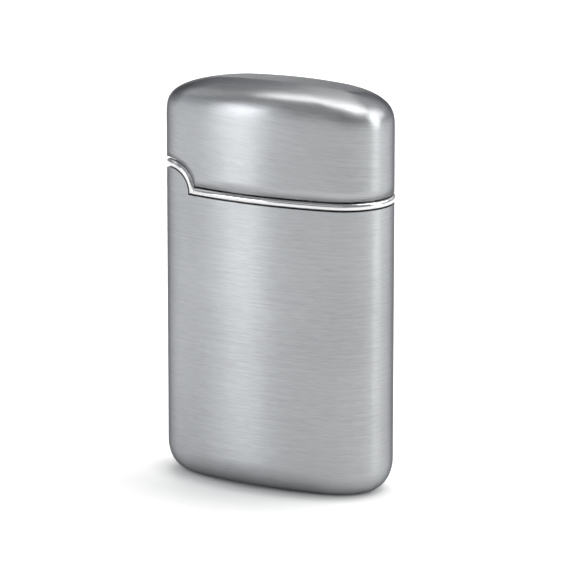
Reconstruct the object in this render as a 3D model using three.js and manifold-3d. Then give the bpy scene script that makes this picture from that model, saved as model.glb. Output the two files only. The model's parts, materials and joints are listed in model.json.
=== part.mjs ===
// Flip-top pocket lighter: a lens-shaped brushed metal case, a domed lid hinged at the left end,
// a polished trim bead on the parting line, and the gas and spark mechanism inside.
// Millimetres, +Z up, front face towards -Y, hinge at the -X end, origin at the bottom centre.

import * as THREE from 'three';
import { mergeVertices } from 'three/addons/utils/BufferGeometryUtils.js';
import Module from 'manifold-3d';

const wasm = await Module();
wasm.setup();

// ---------------------------------------------------------------- driving dimensions

const HEIGHT = 62;
const HALF_WIDTH = 18.8;
const HALF_DEPTH = 9.0;
const END_RADIUS = 7.7;
const WALL = 0.8;
const CLEAR = 0.3;

const BASE_FILLET = { height: 4.6, inset: 3.4 };
const DOME = { height: 6.1, powerX: 3.2, powerY: 4.3 };
const END_STEPS = 10;
const FACE_STEPS = 6;

const PARTING_Z = 44.75;
const BEAD = { height: 1.25, proud: 0.3, inset: 0.9 };
const LID_GAP = 0.2;
const SHELL_GAP = 0.1;

const HINGE = { x: -15.7, z: 44.83, archShift: 0.77, archRadius: 3.49, pinRadius: 0.75 };
const KNUCKLE = { radius: 3.4, halfWidth: 1.9 };
const HINGE_SLOT = { halfWidth: 2.2, drop: 2.7, radius: 3.7 };

const BASE_OPENING = { halfWidth: 13.6, halfDepth: 4.4, endRadius: 3.2 };
const TANK = { left: -20, right: 5.6, bottom: 5, top: 30, wall: 1, inset: 1.2 };
const PLATFORM = { bottom: 32, thickness: 1.2, inset: 1.3, right: 8.4, valveHole: 2.8 };
const DECK = { bottom: 43.9, thickness: 1, inset: 1.1, left: -9.9 };

const FILL_X = -7.5;
const BURNER_X = 0;
const BASE_SCREW_X = 11.8;
const ELECTRODE_X = 5.2;
const BEYOND = 30; // reach of cutting blocks, well past the case on every side

const BUTTON = { left: 7.6, right: 17, bottom: 41.5, top: 49.5, inset: 2.4 };
const PIEZO = { left: 9.3, right: 15.5, halfDepth: 3.4, bottom: 8, top: 34, wall: 0.6 };
const LEVER = { x: 2.1, z: 38.6, tipX: 9, tipZ: 40.6, halfWidth: 1.6, thickness: 0.9 };
const PILLARS = [[-8, 4.6], [-8, -4.6], [5.2, 5.2], [5.2, -5.2]];
const RIVETS = { left: -13.6, right: -11 };
const LINER = { bottom: 57.4, thickness: 0.8, inset: 1.6 };

const BASE_PLATE = { bottom: 0.2, plugTop: 1.3, flangeBottom: 1.1, top: 1.9 };
const BASE_FLANGE = { halfWidth: 14.4, halfDepth: 4.9, endRadius: 3.7 };
const BASE_HOLE = { fill: 2.1, adjuster: 2.3, screw: 0.75, recess: 1.2 };
const BASE_SCREW = { headRadius: 1, headBottom: 0.3, headTop: 1, shankRadius: 0.55, top: 4.7 };
const BASE_SCREW_SLOT = { halfWidth: 0.2, top: 0.65 };

const TANK_COVER = { bottom: 30.1, top: 31.3, hole: 1.4 };
const TANK_BOSS = { radius: 1.3, bore: 0.75, bottom: 2.3, top: 5.1 };
const PORT_RADIUS = 1.75;
const RISER = { radius: 1.05, bore: 0.55, bottom: 8.8, top: 31.6 };
const COLLAR = { radius: 2.3, bottom: 3, top: 4 };
const PORT_SEAL = { major: 1.93, minor: 0.36, z: 4.45 };
const FILL_BODY = { radius: 1.5, mouth: 0.7, chamber: 1.15, bottom: 0.4, top: 9 };
const FILL_STEM = { radius: 0.45, collar: 0.95, bottom: 0.7, collarBottom: 2.3, collarTop: 3, top: 10 };
const FILL_SPRING = { radius: 0.8, bottom: 3.1, top: 7.9, turns: 6, wire: 0.16 };
const BUSH = { radius: 1.5, bore: 1.05, top: 8.3 };
const ADJUSTER = { headRadius: 1.9, bottom: 0.5, headTop: 2.2, shankRadius: 0.9, top: 8 };
const ADJUSTER_SLOT = { halfWidth: 0.3, top: 1.2 };

const WEB = { left: 6.2, right: 7, halfDepth: 5 };
const FOOT = { right: 14.5, halfDepth: 3.6, bottom: 3, top: 4.2 };
const CHEEK = { left: 0.9, right: 3.3, y: 2.6, halfThickness: 0.4, top: 40, axleHole: 0.65 };
const PILLAR = { radius: 1.1, bore: 0.6, boreBottom: 40 };
const DECK_HOLE = { burner: 2.5, electrode: 1.1 };
const DECK_SCREW = { shankRadius: 0.45, headRadius: 1, bottom: 40.6, headHeight: 0.4, crown: 0.2 };
const DECK_SCREW_SLOT = { halfWidth: 0.15, depth: 0.25 };

const VALVE_BODY = { flange: 2.5, radius: 1.9, bore: 1.1, bottom: 31.8, flangeTop: 35, top: 37.4 };
const VALVE_STEM = { radius: 0.85, bottom: 33, top: 46.5 };
const STEM_COLLAR = { radius: 1.7, bottom: 39.9, top: 40.5 };
const VALVE_SPRING = { radius: 1.3, bottom: 40.6, top: 43.6, turns: 4, wire: 0.2 };
const LEVER_HUB = { radius: 1.15, bore: 0.7, axle: 0.5, axleHalf: 3.3 };
const LEVER_PAD = { left: -0.5, right: 0.6, top: 39.75 };
const FORK_GAP = { right: 1.15, halfDepth: 1.15 };

const BURNER = { shank: 2.2, tower: 2.3, bottom: 43.7, top: 50 };
const BURNER_FLANGE = { radius: 3.2, bottom: 45.1, top: 46.1 };
const BURNER_BORE = { radius: 1.15, jetSeat: 1.8, seatBottom: 49, coneBottom: 48.6 };
const JET = { radius: 1.55, tip: 1.1, hole: 0.35, inlet: 0.8, bottom: 49.1, shoulder: 51, top: 51.5 };
const GUARD = { radius: 4, bore: 3.5, bottom: 45.2, top: 54.5 };
const GUARD_WINDOW = { halfWidth: 0.8, bottom: 48.5, top: 53 };

const CRYSTAL = { radius: 2, bottom: 10.1, top: 17 };
const HAMMER = { radius: 1.9, bottom: 17.3, top: 20, neckRadius: 0.9, neckTop: 23 };
const PIEZO_SPRING = { radius: 1.7, bottom: 20.2, top: 26.8, turns: 5, wire: 0.25 };
const PLUNGER = { bottom: 27, gap: 0.25 };
const BUTTON_ROLL = { radius: 9, setback: 1.4 };
const INSULATOR = { radius: 0.9, bore: 0.4, bottom: 42.5, top: 48.4 };
const ELECTRODE_WIRE = 0.28;
const LEAD_WIRE = 0.35;

const HINGE_BLOCK = { right: -10.2, halfDepth: 6, bottom: 33.4, archGap: 0.19, lowTop: 44.6 };
const FOLLOWER = { bore: 1.3, radius: 1, bottom: 37, shoulder: 40.7, tipRadius: 0.5, tip: 41.2, top: 41.3 };
const CAM_SPRING = { radius: 0.85, bottom: 33.5, top: 36.9, turns: 4, wire: 0.2 };
const PIN = { halfLength: 4.4, blockBore: 0.85, leafBore: 0.95 };
const LEAF = { halfDepth: 3, thickness: 0.8, bottom: 50.2, top: 57, reach: 6.6, setback: 1.2 };
const LEAF_ROOT = { left: 1.7, right: 1, top: 50.6 };
const RIVET = { hole: 0.8, head: 1.1, shank: 0.6, bottom: 55.4, edge: 55.6, headTop: 56.1 };
const RIVET_TAIL = { gap: 0.1, height: 0.4, crown: 0.2 };

const STEEL = { color: 0xb9bbbd, roughness: 0.35, metalness: 1 };
const CHROME = { color: 0xdcdee0, roughness: 0.08, metalness: 1 };
const BRASS = { color: 0xc5a253, roughness: 0.3, metalness: 1 };
const ZINC = { color: 0x9a9da0, roughness: 0.5, metalness: 1 };
const BLACK_PLASTIC = { color: 0x1d1e20, roughness: 0.5, metalness: 0 };
const CLEAR_PLASTIC = { color: 0xd5cfc2, roughness: 0.3, metalness: 0 };
const RUBBER = { color: 0x161616, roughness: 0.8, metalness: 0 };
const CERAMIC = { color: 0xf1efe8, roughness: 0.35, metalness: 0 };

const lighter = new THREE.Group();

// ---------------------------------------------------------------- booleans and placing

function toSolid(geometry) {
  const bare = geometry.clone();
  bare.deleteAttribute('normal');
  bare.deleteAttribute('uv');
  const merged = mergeVertices(bare, 1e-5);
  const mesh = new wasm.Mesh({
    numProp: 3,
    vertProperties: new Float32Array(merged.attributes.position.array),
    triVerts: new Uint32Array(merged.index.array),
  });
  return new wasm.Manifold(mesh);
}

function toGeometry(solid) {
  const mesh = solid.getMesh();
  const geometry = new THREE.BufferGeometry();
  geometry.setAttribute('position', new THREE.BufferAttribute(mesh.vertProperties, 3));
  geometry.setIndex(new THREE.BufferAttribute(mesh.triVerts, 1));
  geometry.computeVertexNormals();
  return geometry;
}

function join(first, ...others) {
  return toGeometry(others.reduce((sum, other) => sum.add(toSolid(other)), toSolid(first)));
}

function cut(first, ...others) {
  return toGeometry(others.reduce((rest, other) => rest.subtract(toSolid(other)), toSolid(first)));
}

function overlap(first, second) {
  return toGeometry(toSolid(first).intersect(toSolid(second)));
}

function addNode(name, geometry, finish, place = [0, 0, 0]) {
  const mesh = new THREE.Mesh(geometry, new THREE.MeshStandardMaterial(finish));
  mesh.name = name;
  mesh.position.set(...place);
  lighter.add(mesh);
}

// ---------------------------------------------------------------- simple solids

function block([x0, x1], [y0, y1], [z0, z1]) {
  const geometry = new THREE.BoxGeometry(x1 - x0, y1 - y0, z1 - z0);
  return geometry.translate((x0 + x1) / 2, (y0 + y1) / 2, (z0 + z1) / 2);
}

// A solid of revolution about Z. The profile lists [radius, z] from the bottom up.
function turned(profile, segments = 16) {
  const points = profile.map(([radius, z]) => new THREE.Vector2(radius, z));
  return new THREE.LatheGeometry(points, segments).rotateX(Math.PI / 2);
}

function rod(radius, z0, z1, segments = 16) {
  return turned([[0, z0], [radius, z0], [radius, z1], [0, z1]], segments);
}

// A tube with steps: outer steps from the bottom up, then the bore from the top down.
function bored(outer, bore, segments = 16) {
  return turned([...outer, ...bore, outer[0]], segments);
}

function rodAlongY(radius, y0, y1, x, z, segments = 16) {
  return rod(radius, -y1, -y0, segments).rotateX(Math.PI / 2).translate(x, 0, z);
}

function sealRing(major, minor) {
  return new THREE.TorusGeometry(major, minor, 8, 18);
}

class HelixCurve extends THREE.Curve {
  constructor(radius, z0, z1, turns) {
    super();
    Object.assign(this, { radius, z0, z1, turns });
  }

  getPoint(t, target = new THREE.Vector3()) {
    const angle = t * this.turns * 2 * Math.PI;
    const z = this.z0 + (this.z1 - this.z0) * t;
    return target.set(this.radius * Math.cos(angle), this.radius * Math.sin(angle), z);
  }
}

function alongCurve(curve, wireRadius, steps, sides = 6) {
  const section = new THREE.Shape();
  section.absarc(0, 0, wireRadius, 0, 2 * Math.PI);
  return new THREE.ExtrudeGeometry(section, {
    steps,
    curveSegments: sides / 2,
    bevelEnabled: false,
    extrudePath: curve,
  });
}

function spring({ radius, bottom, top, turns, wire }) {
  const curve = new HelixCurve(radius, bottom + wire, top - wire, turns);
  return alongCurve(curve, wire, turns * 10, 6);
}

function curveThrough(points) {
  return new THREE.CatmullRomCurve3(points.map((point) => new THREE.Vector3(...point)));
}

// ---------------------------------------------------------------- the case outline

// Plan outline made of four tangent arcs: two small ends and two shallow faces.
function lensOutline(halfWidth, halfDepth, endRadius, endSteps = END_STEPS, faceSteps = FACE_STEPS) {
  const endX = halfWidth - endRadius;
  const rise = halfDepth - endRadius;
  const faceRadius = (endX * endX + halfDepth * halfDepth - endRadius * endRadius) / (2 * rise);
  const halfFace = Math.atan2(endX, faceRadius - halfDepth);
  const halfEnd = Math.PI / 2 - halfFace;
  const points = [];
  const addArc = (centreX, centreY, radius, from, to, steps) => {
    for (let step = 0; step < steps; step += 1) {
      const angle = from + ((to - from) * step) / steps;
      points.push([centreX + radius * Math.cos(angle), centreY + radius * Math.sin(angle)]);
    }
  };
  const faceY = faceRadius - halfDepth;
  addArc(endX, 0, endRadius, -halfEnd, halfEnd, endSteps);
  addArc(0, -faceY, faceRadius, halfEnd, halfEnd + 2 * halfFace, faceSteps);
  addArc(-endX, 0, endRadius, Math.PI - halfEnd, Math.PI + halfEnd, endSteps);
  addArc(0, faceY, faceRadius, Math.PI + halfEnd, Math.PI + halfEnd + 2 * halfFace, faceSteps);
  return points;
}

function insetOutline(inset) {
  return lensOutline(HALF_WIDTH - inset, HALF_DEPTH - inset, END_RADIUS - inset);
}

// Closed solid through stacked rings of equal length, with flat ends.
function stacked(rings) {
  const count = rings[0].length;
  const positions = rings.flat(2);
  const index = [];
  for (let level = 0; level + 1 < rings.length; level += 1) {
    for (let side = 0; side < count; side += 1) {
      const next = (side + 1) % count;
      const low = level * count;
      const high = low + count;
      index.push(low + side, low + next, high + next);
      index.push(low + side, high + next, high + side);
    }
  }
  const top = (rings.length - 1) * count;
  for (let side = 1; side + 1 < count; side += 1) {
    index.push(0, side + 1, side);
    index.push(top, top + side, top + side + 1);
  }
  const geometry = new THREE.BufferGeometry();
  geometry.setAttribute('position', new THREE.Float32BufferAttribute(positions, 3));
  geometry.setIndex(index);
  geometry.computeVertexNormals();
  return geometry;
}

function ringAt(outline, scaleX, scaleY, z) {
  return outline.map(([x, y]) => [x * scaleX, y * scaleY, z]);
}

function lensPlate(inset, z0, z1) {
  const outline = insetOutline(inset);
  return stacked([ringAt(outline, 1, 1, z0), ringAt(outline, 1, 1, z1)]);
}

// The whole closed case as one solid, moved inwards by the inset on every side.
function caseSolid(inset) {
  const halfWidth = HALF_WIDTH - inset;
  const halfDepth = HALF_DEPTH - inset;
  const outline = insetOutline(inset);
  const rings = [];
  const filletHeight = BASE_FILLET.height - inset;
  const filletInset = BASE_FILLET.inset * (filletHeight / BASE_FILLET.height);
  for (const angle of [90, 65, 43, 21, 0]) {
    const turn = THREE.MathUtils.degToRad(angle);
    const shrink = filletInset * (1 - Math.cos(turn));
    const z = BASE_FILLET.height - filletHeight * Math.sin(turn);
    rings.push(ringAt(outline, 1 - shrink / halfWidth, 1 - shrink / halfDepth, z));
  }
  const domeHeight = DOME.height - inset;
  for (const part of [0, 0.42, 0.62, 0.78, 0.89, 0.96, 0.995]) {
    const scaleX = (1 - part ** DOME.powerX) ** (1 / DOME.powerX);
    const scaleY = (1 - part ** DOME.powerY) ** (1 / DOME.powerY);
    rings.push(ringAt(outline, scaleX, scaleY, HEIGHT - DOME.height + domeHeight * part));
  }
  const lastZ = HEIGHT - inset;
  rings.push(ringAt(outline, 0.02, 0.02, lastZ));
  return stacked(rings);
}

// ---------------------------------------------------------------- the parting line

// Everything on the body's side of the parting line: the space below a level line, and an arch
// round the hinge pin at the left end. Extruded through the whole depth.
function partingRegion(lineZ, archRadius) {
  const steps = 16;
  const floorZ = -5;
  const archRight = HINGE.x + HINGE.archShift;
  const arch = new THREE.Shape();
  arch.moveTo(HINGE.x - archRadius, floorZ);
  for (let step = 0; step <= steps; step += 1) {
    const angle = Math.PI * (1 - step / steps);
    const centreX = step <= steps / 2 ? HINGE.x : archRight;
    arch.lineTo(centreX + archRadius * Math.cos(angle), HINGE.z + archRadius * Math.sin(angle));
  }
  arch.lineTo(archRight + archRadius, floorZ);
  const archSolid = new THREE.ExtrudeGeometry(arch, { depth: BEYOND, bevelEnabled: false })
    .rotateX(Math.PI / 2)
    .translate(0, BEYOND / 2, 0);
  const level = block([-BEYOND, BEYOND], [-BEYOND / 2, BEYOND / 2], [floorZ, lineZ]);
  return join(archSolid, level);
}

const outerCase = caseSolid(0);
const innerCase = caseSolid(WALL);
const caseWall = cut(outerCase, innerCase);
const hingeSlot = block(
  [-HALF_WIDTH - 2, HINGE.x],
  [-HINGE_SLOT.halfWidth, HINGE_SLOT.halfWidth],
  [HINGE.z - HINGE_SLOT.drop, HINGE.z + 10],
);

function lensBlock({ halfWidth, halfDepth, endRadius }, shrink, z0, z1) {
  const outline = lensOutline(halfWidth - shrink, halfDepth - shrink, endRadius - shrink, 6, 4);
  return stacked([ringAt(outline, 1, 1, z0), ringAt(outline, 1, 1, z1)]);
}

// The inside of the case between two x positions, moved inwards by the inset.
function lensSlice(inset, [x0, x1], [z0, z1]) {
  return overlap(lensPlate(inset, z0, z1), block([x0, x1], [-BEYOND, BEYOND], [z0 - 1, z1 + 1]));
}

// ---------------------------------------------------------------- case pieces

function addCase() {
  const below = partingRegion(PARTING_Z - SHELL_GAP, HINGE.archRadius - SHELL_GAP);
  const opening = lensBlock(BASE_OPENING, 0, -1, 3);
  addNode('body_shell', cut(overlap(caseWall, below), hingeSlot, opening), STEEL);

  const beadBand = cut(
    partingRegion(PARTING_Z + BEAD.height, HINGE.archRadius + BEAD.height),
    partingRegion(PARTING_Z, HINGE.archRadius),
  );
  const bandZ = [PARTING_Z - 5, PARTING_Z + 8];
  const outside = lensPlate(-BEAD.proud, ...bandZ);
  const inside = lensPlate(BEAD.inset, bandZ[0] - 1, bandZ[1] + 1);
  const beadWall = cut(outside, inside);
  addNode('trim_bead', cut(overlap(beadWall, beadBand), hingeSlot), CHROME);
}

function addBase() {
  const { bottom, plugTop, flangeBottom, top } = BASE_PLATE;
  const plug = lensBlock(BASE_OPENING, CLEAR, bottom, plugTop);
  const plate = join(plug, lensBlock(BASE_FLANGE, 0, flangeBottom, top));
  const screwXs = [-BASE_SCREW_X, BASE_SCREW_X];
  const holeZ = [bottom - 1, top + 1];
  const holes = [
    rod(BASE_HOLE.fill, ...holeZ).translate(FILL_X, 0, 0),
    rod(BASE_HOLE.adjuster, ...holeZ).translate(BURNER_X, 0, 0),
    ...screwXs.map((x) => rod(BASE_HOLE.screw, ...holeZ, 12).translate(x, 0, 0)),
    ...screwXs.map((x) => rod(BASE_HOLE.recess, bottom - 1, flangeBottom, 12).translate(x, 0, 0)),
  ];
  addNode('base_plate', cut(plate, ...holes), STEEL);

  const { headRadius, headBottom, headTop, shankRadius } = BASE_SCREW;
  const profile = [
    [0, headBottom],
    [headRadius, headBottom],
    [headRadius, headTop],
    [shankRadius, headTop],
    [shankRadius, BASE_SCREW.top],
    [0, BASE_SCREW.top],
  ];
  const { halfWidth } = BASE_SCREW_SLOT;
  const slot = block([-2, 2], [-halfWidth, halfWidth], [0, BASE_SCREW_SLOT.top]);
  const screw = cut(turned(profile, 12), slot);
  addNode('base_screw_left', screw, STEEL, [-BASE_SCREW_X, 0, 0]);
  addNode('base_screw_right', screw, STEEL, [BASE_SCREW_X, 0, 0]);
}

// ---------------------------------------------------------------- fuel

function addTank() {
  const { left, right, bottom, top, wall, inset } = TANK;
  const outside = lensSlice(inset, [left, right], [bottom, top]);
  const floorTop = bottom + wall + 0.2;
  const inside = lensSlice(inset + wall, [left, right - wall], [floorTop, top + 1]);
  const boss = bored(
    [[TANK_BOSS.radius, TANK_BOSS.bottom], [TANK_BOSS.radius, TANK_BOSS.top]],
    [[TANK_BOSS.bore, TANK_BOSS.top], [TANK_BOSS.bore, TANK_BOSS.bottom]],
    12,
  );
  const cup = join(cut(outside, inside), boss.translate(-BASE_SCREW_X, 0, 0));
  const ports = [FILL_X, BURNER_X].map((x) =>
    rod(PORT_RADIUS, bottom - 1, floorTop + 1).translate(x, 0, 0));
  addNode('fuel_tank', cut(cup, ...ports), CLEAR_PLASTIC);

  const cover = lensSlice(inset, [left, right], [TANK_COVER.bottom, TANK_COVER.top]);
  const riserHole = rod(TANK_COVER.hole, TANK_COVER.bottom - 1, TANK_COVER.top + 1);
  addNode('tank_cover', cut(cover, riserHole.translate(BURNER_X, 0, 0)), CLEAR_PLASTIC);

  const riser = bored(
    [[RISER.radius, RISER.bottom], [RISER.radius, RISER.top]],
    [[RISER.bore, RISER.top], [RISER.bore, RISER.bottom]],
    12,
  );
  addNode('riser_tube', riser, BRASS, [BURNER_X, 0, 0]);
}

function addFillValve() {
  const { radius, mouth, chamber, bottom, top } = FILL_BODY;
  const lip = 1;
  const outer = [
    [radius, bottom],
    [radius, COLLAR.bottom],
    [COLLAR.radius, COLLAR.bottom],
    [COLLAR.radius, COLLAR.top],
    [radius, COLLAR.top],
    [radius, top],
  ];
  const bore = [
    [mouth, top],
    [mouth, top - lip],
    [chamber, top - lip],
    [chamber, bottom + 1.6 * lip],
    [mouth, bottom + 1.6 * lip],
    [mouth, bottom],
  ];
  addNode('fill_valve_body', bored(outer, bore), BRASS, [FILL_X, 0, 0]);

  const seal = sealRing(PORT_SEAL.major, PORT_SEAL.minor);
  addNode('fill_valve_seal', seal, RUBBER, [FILL_X, 0, PORT_SEAL.z]);

  const stem = turned([
    [0, FILL_STEM.bottom],
    [FILL_STEM.radius, FILL_STEM.bottom],
    [FILL_STEM.radius, FILL_STEM.collarBottom],
    [FILL_STEM.collar, FILL_STEM.collarBottom],
    [FILL_STEM.collar, FILL_STEM.collarTop],
    [FILL_STEM.radius, FILL_STEM.collarTop],
    [FILL_STEM.radius, FILL_STEM.top],
    [0, FILL_STEM.top],
  ]);
  addNode('fill_stem', stem, STEEL, [FILL_X, 0, 0]);
  addNode('fill_spring', spring(FILL_SPRING), STEEL, [FILL_X, 0, 0]);
}

function addAdjuster() {
  const outer = [
    [BUSH.radius, COLLAR.bottom],
    [COLLAR.radius, COLLAR.bottom],
    [COLLAR.radius, COLLAR.top],
    [BUSH.radius, COLLAR.top],
    [BUSH.radius, BUSH.top],
  ];
  const bush = bored(outer, [[BUSH.bore, BUSH.top], [BUSH.bore, COLLAR.bottom]]);
  addNode('adjuster_bush', bush, BRASS, [BURNER_X, 0, 0]);
  const seal = sealRing(PORT_SEAL.major, PORT_SEAL.minor);
  addNode('adjuster_seal', seal, RUBBER, [BURNER_X, 0, PORT_SEAL.z]);

  const { headRadius, bottom, headTop, shankRadius, top } = ADJUSTER;
  const profile = [
    [0, bottom],
    [headRadius, bottom],
    [headRadius, headTop],
    [shankRadius, headTop],
    [shankRadius, top],
    [0, top],
  ];
  const { halfWidth } = ADJUSTER_SLOT;
  const slot = block([-3, 3], [-halfWidth, halfWidth], [0, ADJUSTER_SLOT.top]);
  addNode('adjuster_screw', cut(turned(profile, 20), slot), BRASS, [BURNER_X, 0, 0]);
}

// ---------------------------------------------------------------- chassis

const pillarBores = PILLARS.map(([x, y]) =>
  rod(PILLAR.bore, PILLAR.boreBottom, PILLAR.boreBottom + 10, 10).translate(x, y, 0));

function addFrame() {
  const top = PLATFORM.bottom + PLATFORM.thickness;
  const platform = lensSlice(PLATFORM.inset, [-BEYOND, PLATFORM.right], [PLATFORM.bottom, top]);
  const web = block(
    [WEB.left, WEB.right],
    [-WEB.halfDepth, WEB.halfDepth],
    [FOOT.bottom, PLATFORM.bottom + 0.5],
  );
  const foot = block([WEB.left, FOOT.right], [-FOOT.halfDepth, FOOT.halfDepth], [FOOT.bottom, FOOT.top]);
  const cheeks = [-CHEEK.y, CHEEK.y].map((y) => block(
    [CHEEK.left, CHEEK.right],
    [y - CHEEK.halfThickness, y + CHEEK.halfThickness],
    [top - 0.2, CHEEK.top],
  ));
  const pillars = PILLARS.map(([x, y]) =>
    rod(PILLAR.radius, top - 0.2, DECK.bottom - 0.1, 12).translate(x, y, 0));
  const valveRoom = rod(PLATFORM.valveHole, PLATFORM.bottom - 1, VALVE_BODY.flangeTop + 1);
  const frame = cut(
    join(platform, web, foot, ...cheeks, ...pillars),
    valveRoom.translate(BURNER_X, 0, 0),
    rod(BASE_HOLE.screw, FOOT.bottom - 1, FOOT.top + 1, 12).translate(BASE_SCREW_X, 0, 0),
    rodAlongY(CHEEK.axleHole, -BEYOND, BEYOND, LEVER.x, LEVER.z, 12),
    ...pillarBores,
  );
  addNode('mechanism_frame', frame, ZINC);
}

function addDeck() {
  const z0 = DECK.bottom;
  const z1 = z0 + DECK.thickness;
  const outline = lensSlice(DECK.inset, [DECK.left, BEYOND], [z0, z1]);
  const buttonHole = lensSlice(BUTTON.inset - CLEAR, [BUTTON.left - CLEAR, BEYOND], [z0 - 1, z1 + 1]);
  const deck = cut(
    outline,
    buttonHole,
    rod(DECK_HOLE.burner, z0 - 1, z1 + 1).translate(BURNER_X, 0, 0),
    rod(DECK_HOLE.electrode, z0 - 1, z1 + 1, 12).translate(ELECTRODE_X, 0, 0),
    ...pillarBores,
  );
  addNode('deck_plate', deck, CHROME);

  const { shankRadius, headRadius, bottom, headHeight, crown } = DECK_SCREW;
  const headZ = z1 + 0.1;
  const headTop = headZ + headHeight;
  const profile = [
    [0, bottom],
    [shankRadius, bottom],
    [shankRadius, headZ],
    [headRadius, headZ],
    [headRadius, headTop],
    [0, headTop + crown],
  ];
  const { halfWidth, depth } = DECK_SCREW_SLOT;
  const slot = block([-2, 2], [-halfWidth, halfWidth], [headTop + 0.1 - depth, headTop + 1]);
  const screw = cut(turned(profile, 12), slot);
  PILLARS.forEach(([x, y], number) => {
    addNode(`deck_screw_${number + 1}`, screw, STEEL, [x, y, 0]);
  });
}

// ---------------------------------------------------------------- gas valve and burner

function addValve() {
  const { flange, radius, bore, bottom, flangeTop, top } = VALVE_BODY;
  const outer = [[flange, bottom], [flange, flangeTop], [radius, flangeTop], [radius, top]];
  const body = bored(outer, [[bore, top], [bore, bottom]], 20);
  addNode('valve_body', body, BRASS, [BURNER_X, 0, 0]);

  const stem = turned([
    [0, VALVE_STEM.bottom],
    [VALVE_STEM.radius, VALVE_STEM.bottom],
    [VALVE_STEM.radius, STEM_COLLAR.bottom],
    [STEM_COLLAR.radius, STEM_COLLAR.bottom],
    [STEM_COLLAR.radius, STEM_COLLAR.top],
    [VALVE_STEM.radius, STEM_COLLAR.top],
    [VALVE_STEM.radius, VALVE_STEM.top],
    [0, VALVE_STEM.top],
  ]);
  addNode('valve_stem', stem, BRASS, [BURNER_X, 0, 0]);
  addNode('valve_spring', spring(VALVE_SPRING), STEEL, [BURNER_X, 0, 0]);
}

function addLever() {
  const { x, z, tipX, tipZ, halfWidth, thickness } = LEVER;
  const across = [-halfWidth, halfWidth];
  const slope = Math.atan2(tipZ - z, tipX - x);
  const rightArm = block([0, tipX - x + 0.6], across, [-thickness, 0])
    .rotateY(-slope)
    .translate(x, 0, z + thickness / 2);
  const leftArm = block([-1, x], across, [z - thickness / 2, z + thickness / 2]);
  const pads = block([LEVER_PAD.left, LEVER_PAD.right], across, [z, LEVER_PAD.top]);
  const hub = rodAlongY(LEVER_HUB.radius, ...across, x, z);
  const forkGap = block([-2, FORK_GAP.right], [-FORK_GAP.halfDepth, FORK_GAP.halfDepth], [z - 2, z + 2]);
  const bore = rodAlongY(LEVER_HUB.bore, -BEYOND, BEYOND, x, z, 12);
  addNode('gas_lever', cut(join(rightArm, leftArm, pads, hub), forkGap, bore), STEEL);

  const { axle, axleHalf } = LEVER_HUB;
  addNode('lever_axle', rodAlongY(axle, -axleHalf, axleHalf, x, z, 12), STEEL);
}

function addBurner() {
  const { shank, tower, bottom, top } = BURNER;
  const outer = [
    [shank, bottom],
    [shank, BURNER_FLANGE.bottom],
    [BURNER_FLANGE.radius, BURNER_FLANGE.bottom],
    [BURNER_FLANGE.radius, BURNER_FLANGE.top],
    [tower, BURNER_FLANGE.top],
    [tower, top],
  ];
  const bore = [
    [BURNER_BORE.jetSeat, top],
    [BURNER_BORE.jetSeat, BURNER_BORE.seatBottom],
    [BURNER_BORE.radius, BURNER_BORE.coneBottom],
    [BURNER_BORE.radius, bottom],
  ];
  addNode('burner_body', bored(outer, bore, 20), BRASS, [BURNER_X, 0, 0]);

  const jet = bored(
    [[JET.radius, JET.bottom], [JET.radius, JET.shoulder], [JET.tip, JET.top]],
    [[JET.hole, JET.top], [JET.hole, JET.top - 1.5], [JET.inlet, JET.bottom]],
  );
  addNode('jet_nozzle', jet, BRASS, [BURNER_X, 0, 0]);

  const sleeve = bored(
    [[GUARD.radius, GUARD.bottom], [GUARD.radius, GUARD.top]],
    [[GUARD.bore, GUARD.top], [GUARD.bore, GUARD.bottom]],
    24,
  );
  const { halfWidth } = GUARD_WINDOW;
  const windows = [0, 60, 120].map((angle) =>
    block([-6, 6], [-halfWidth, halfWidth], [GUARD_WINDOW.bottom, GUARD_WINDOW.top])
      .rotateZ(THREE.MathUtils.degToRad(angle)));
  addNode('flame_guard', cut(sleeve, ...windows), STEEL, [BURNER_X, 0, 0]);
}

// ---------------------------------------------------------------- spark unit and button

function addPiezo() {
  const { left, right, halfDepth, bottom, top, wall } = PIEZO;
  const mid = (left + right) / 2;
  const outside = block([left, right], [-halfDepth, halfDepth], [bottom, top]);
  const inside = block(
    [left + wall, right - wall],
    [wall - halfDepth, halfDepth - wall],
    [bottom + 2, top + 1],
  );
  addNode('piezo_case', cut(outside, inside), BLACK_PLASTIC);

  const crystal = rod(CRYSTAL.radius, CRYSTAL.bottom, CRYSTAL.top, 14);
  addNode('piezo_crystal', crystal, CERAMIC, [mid, 0, 0]);
  const head = rod(HAMMER.radius, HAMMER.bottom, HAMMER.top, 14);
  const neck = rod(HAMMER.neckRadius, HAMMER.top - 1, HAMMER.neckTop, 12);
  addNode('piezo_hammer', join(head, neck), STEEL, [mid, 0, 0]);
  addNode('piezo_spring', spring(PIEZO_SPRING), STEEL, [mid, 0, 0]);

  const room = wall + PLUNGER.gap;
  const plunger = block(
    [left + room, right - room],
    [room - halfDepth, halfDepth - room],
    [PLUNGER.bottom, BUTTON.bottom - 0.2],
  );
  addNode('piezo_plunger', plunger, BLACK_PLASTIC);
}

function addButton() {
  const { left, right, bottom, top, inset } = BUTTON;
  const full = lensSlice(inset, [left, right], [bottom, top]);
  const { radius, setback } = BUTTON_ROLL;
  const roll = rodAlongY(radius, -BEYOND, BEYOND, left + setback, top - radius, 40);
  const flat = block([left + setback, BEYOND], [-BEYOND, BEYOND], [bottom - 1, top + 1]);
  addNode('ignition_button', overlap(full, join(roll, flat)), CHROME);
}

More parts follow.
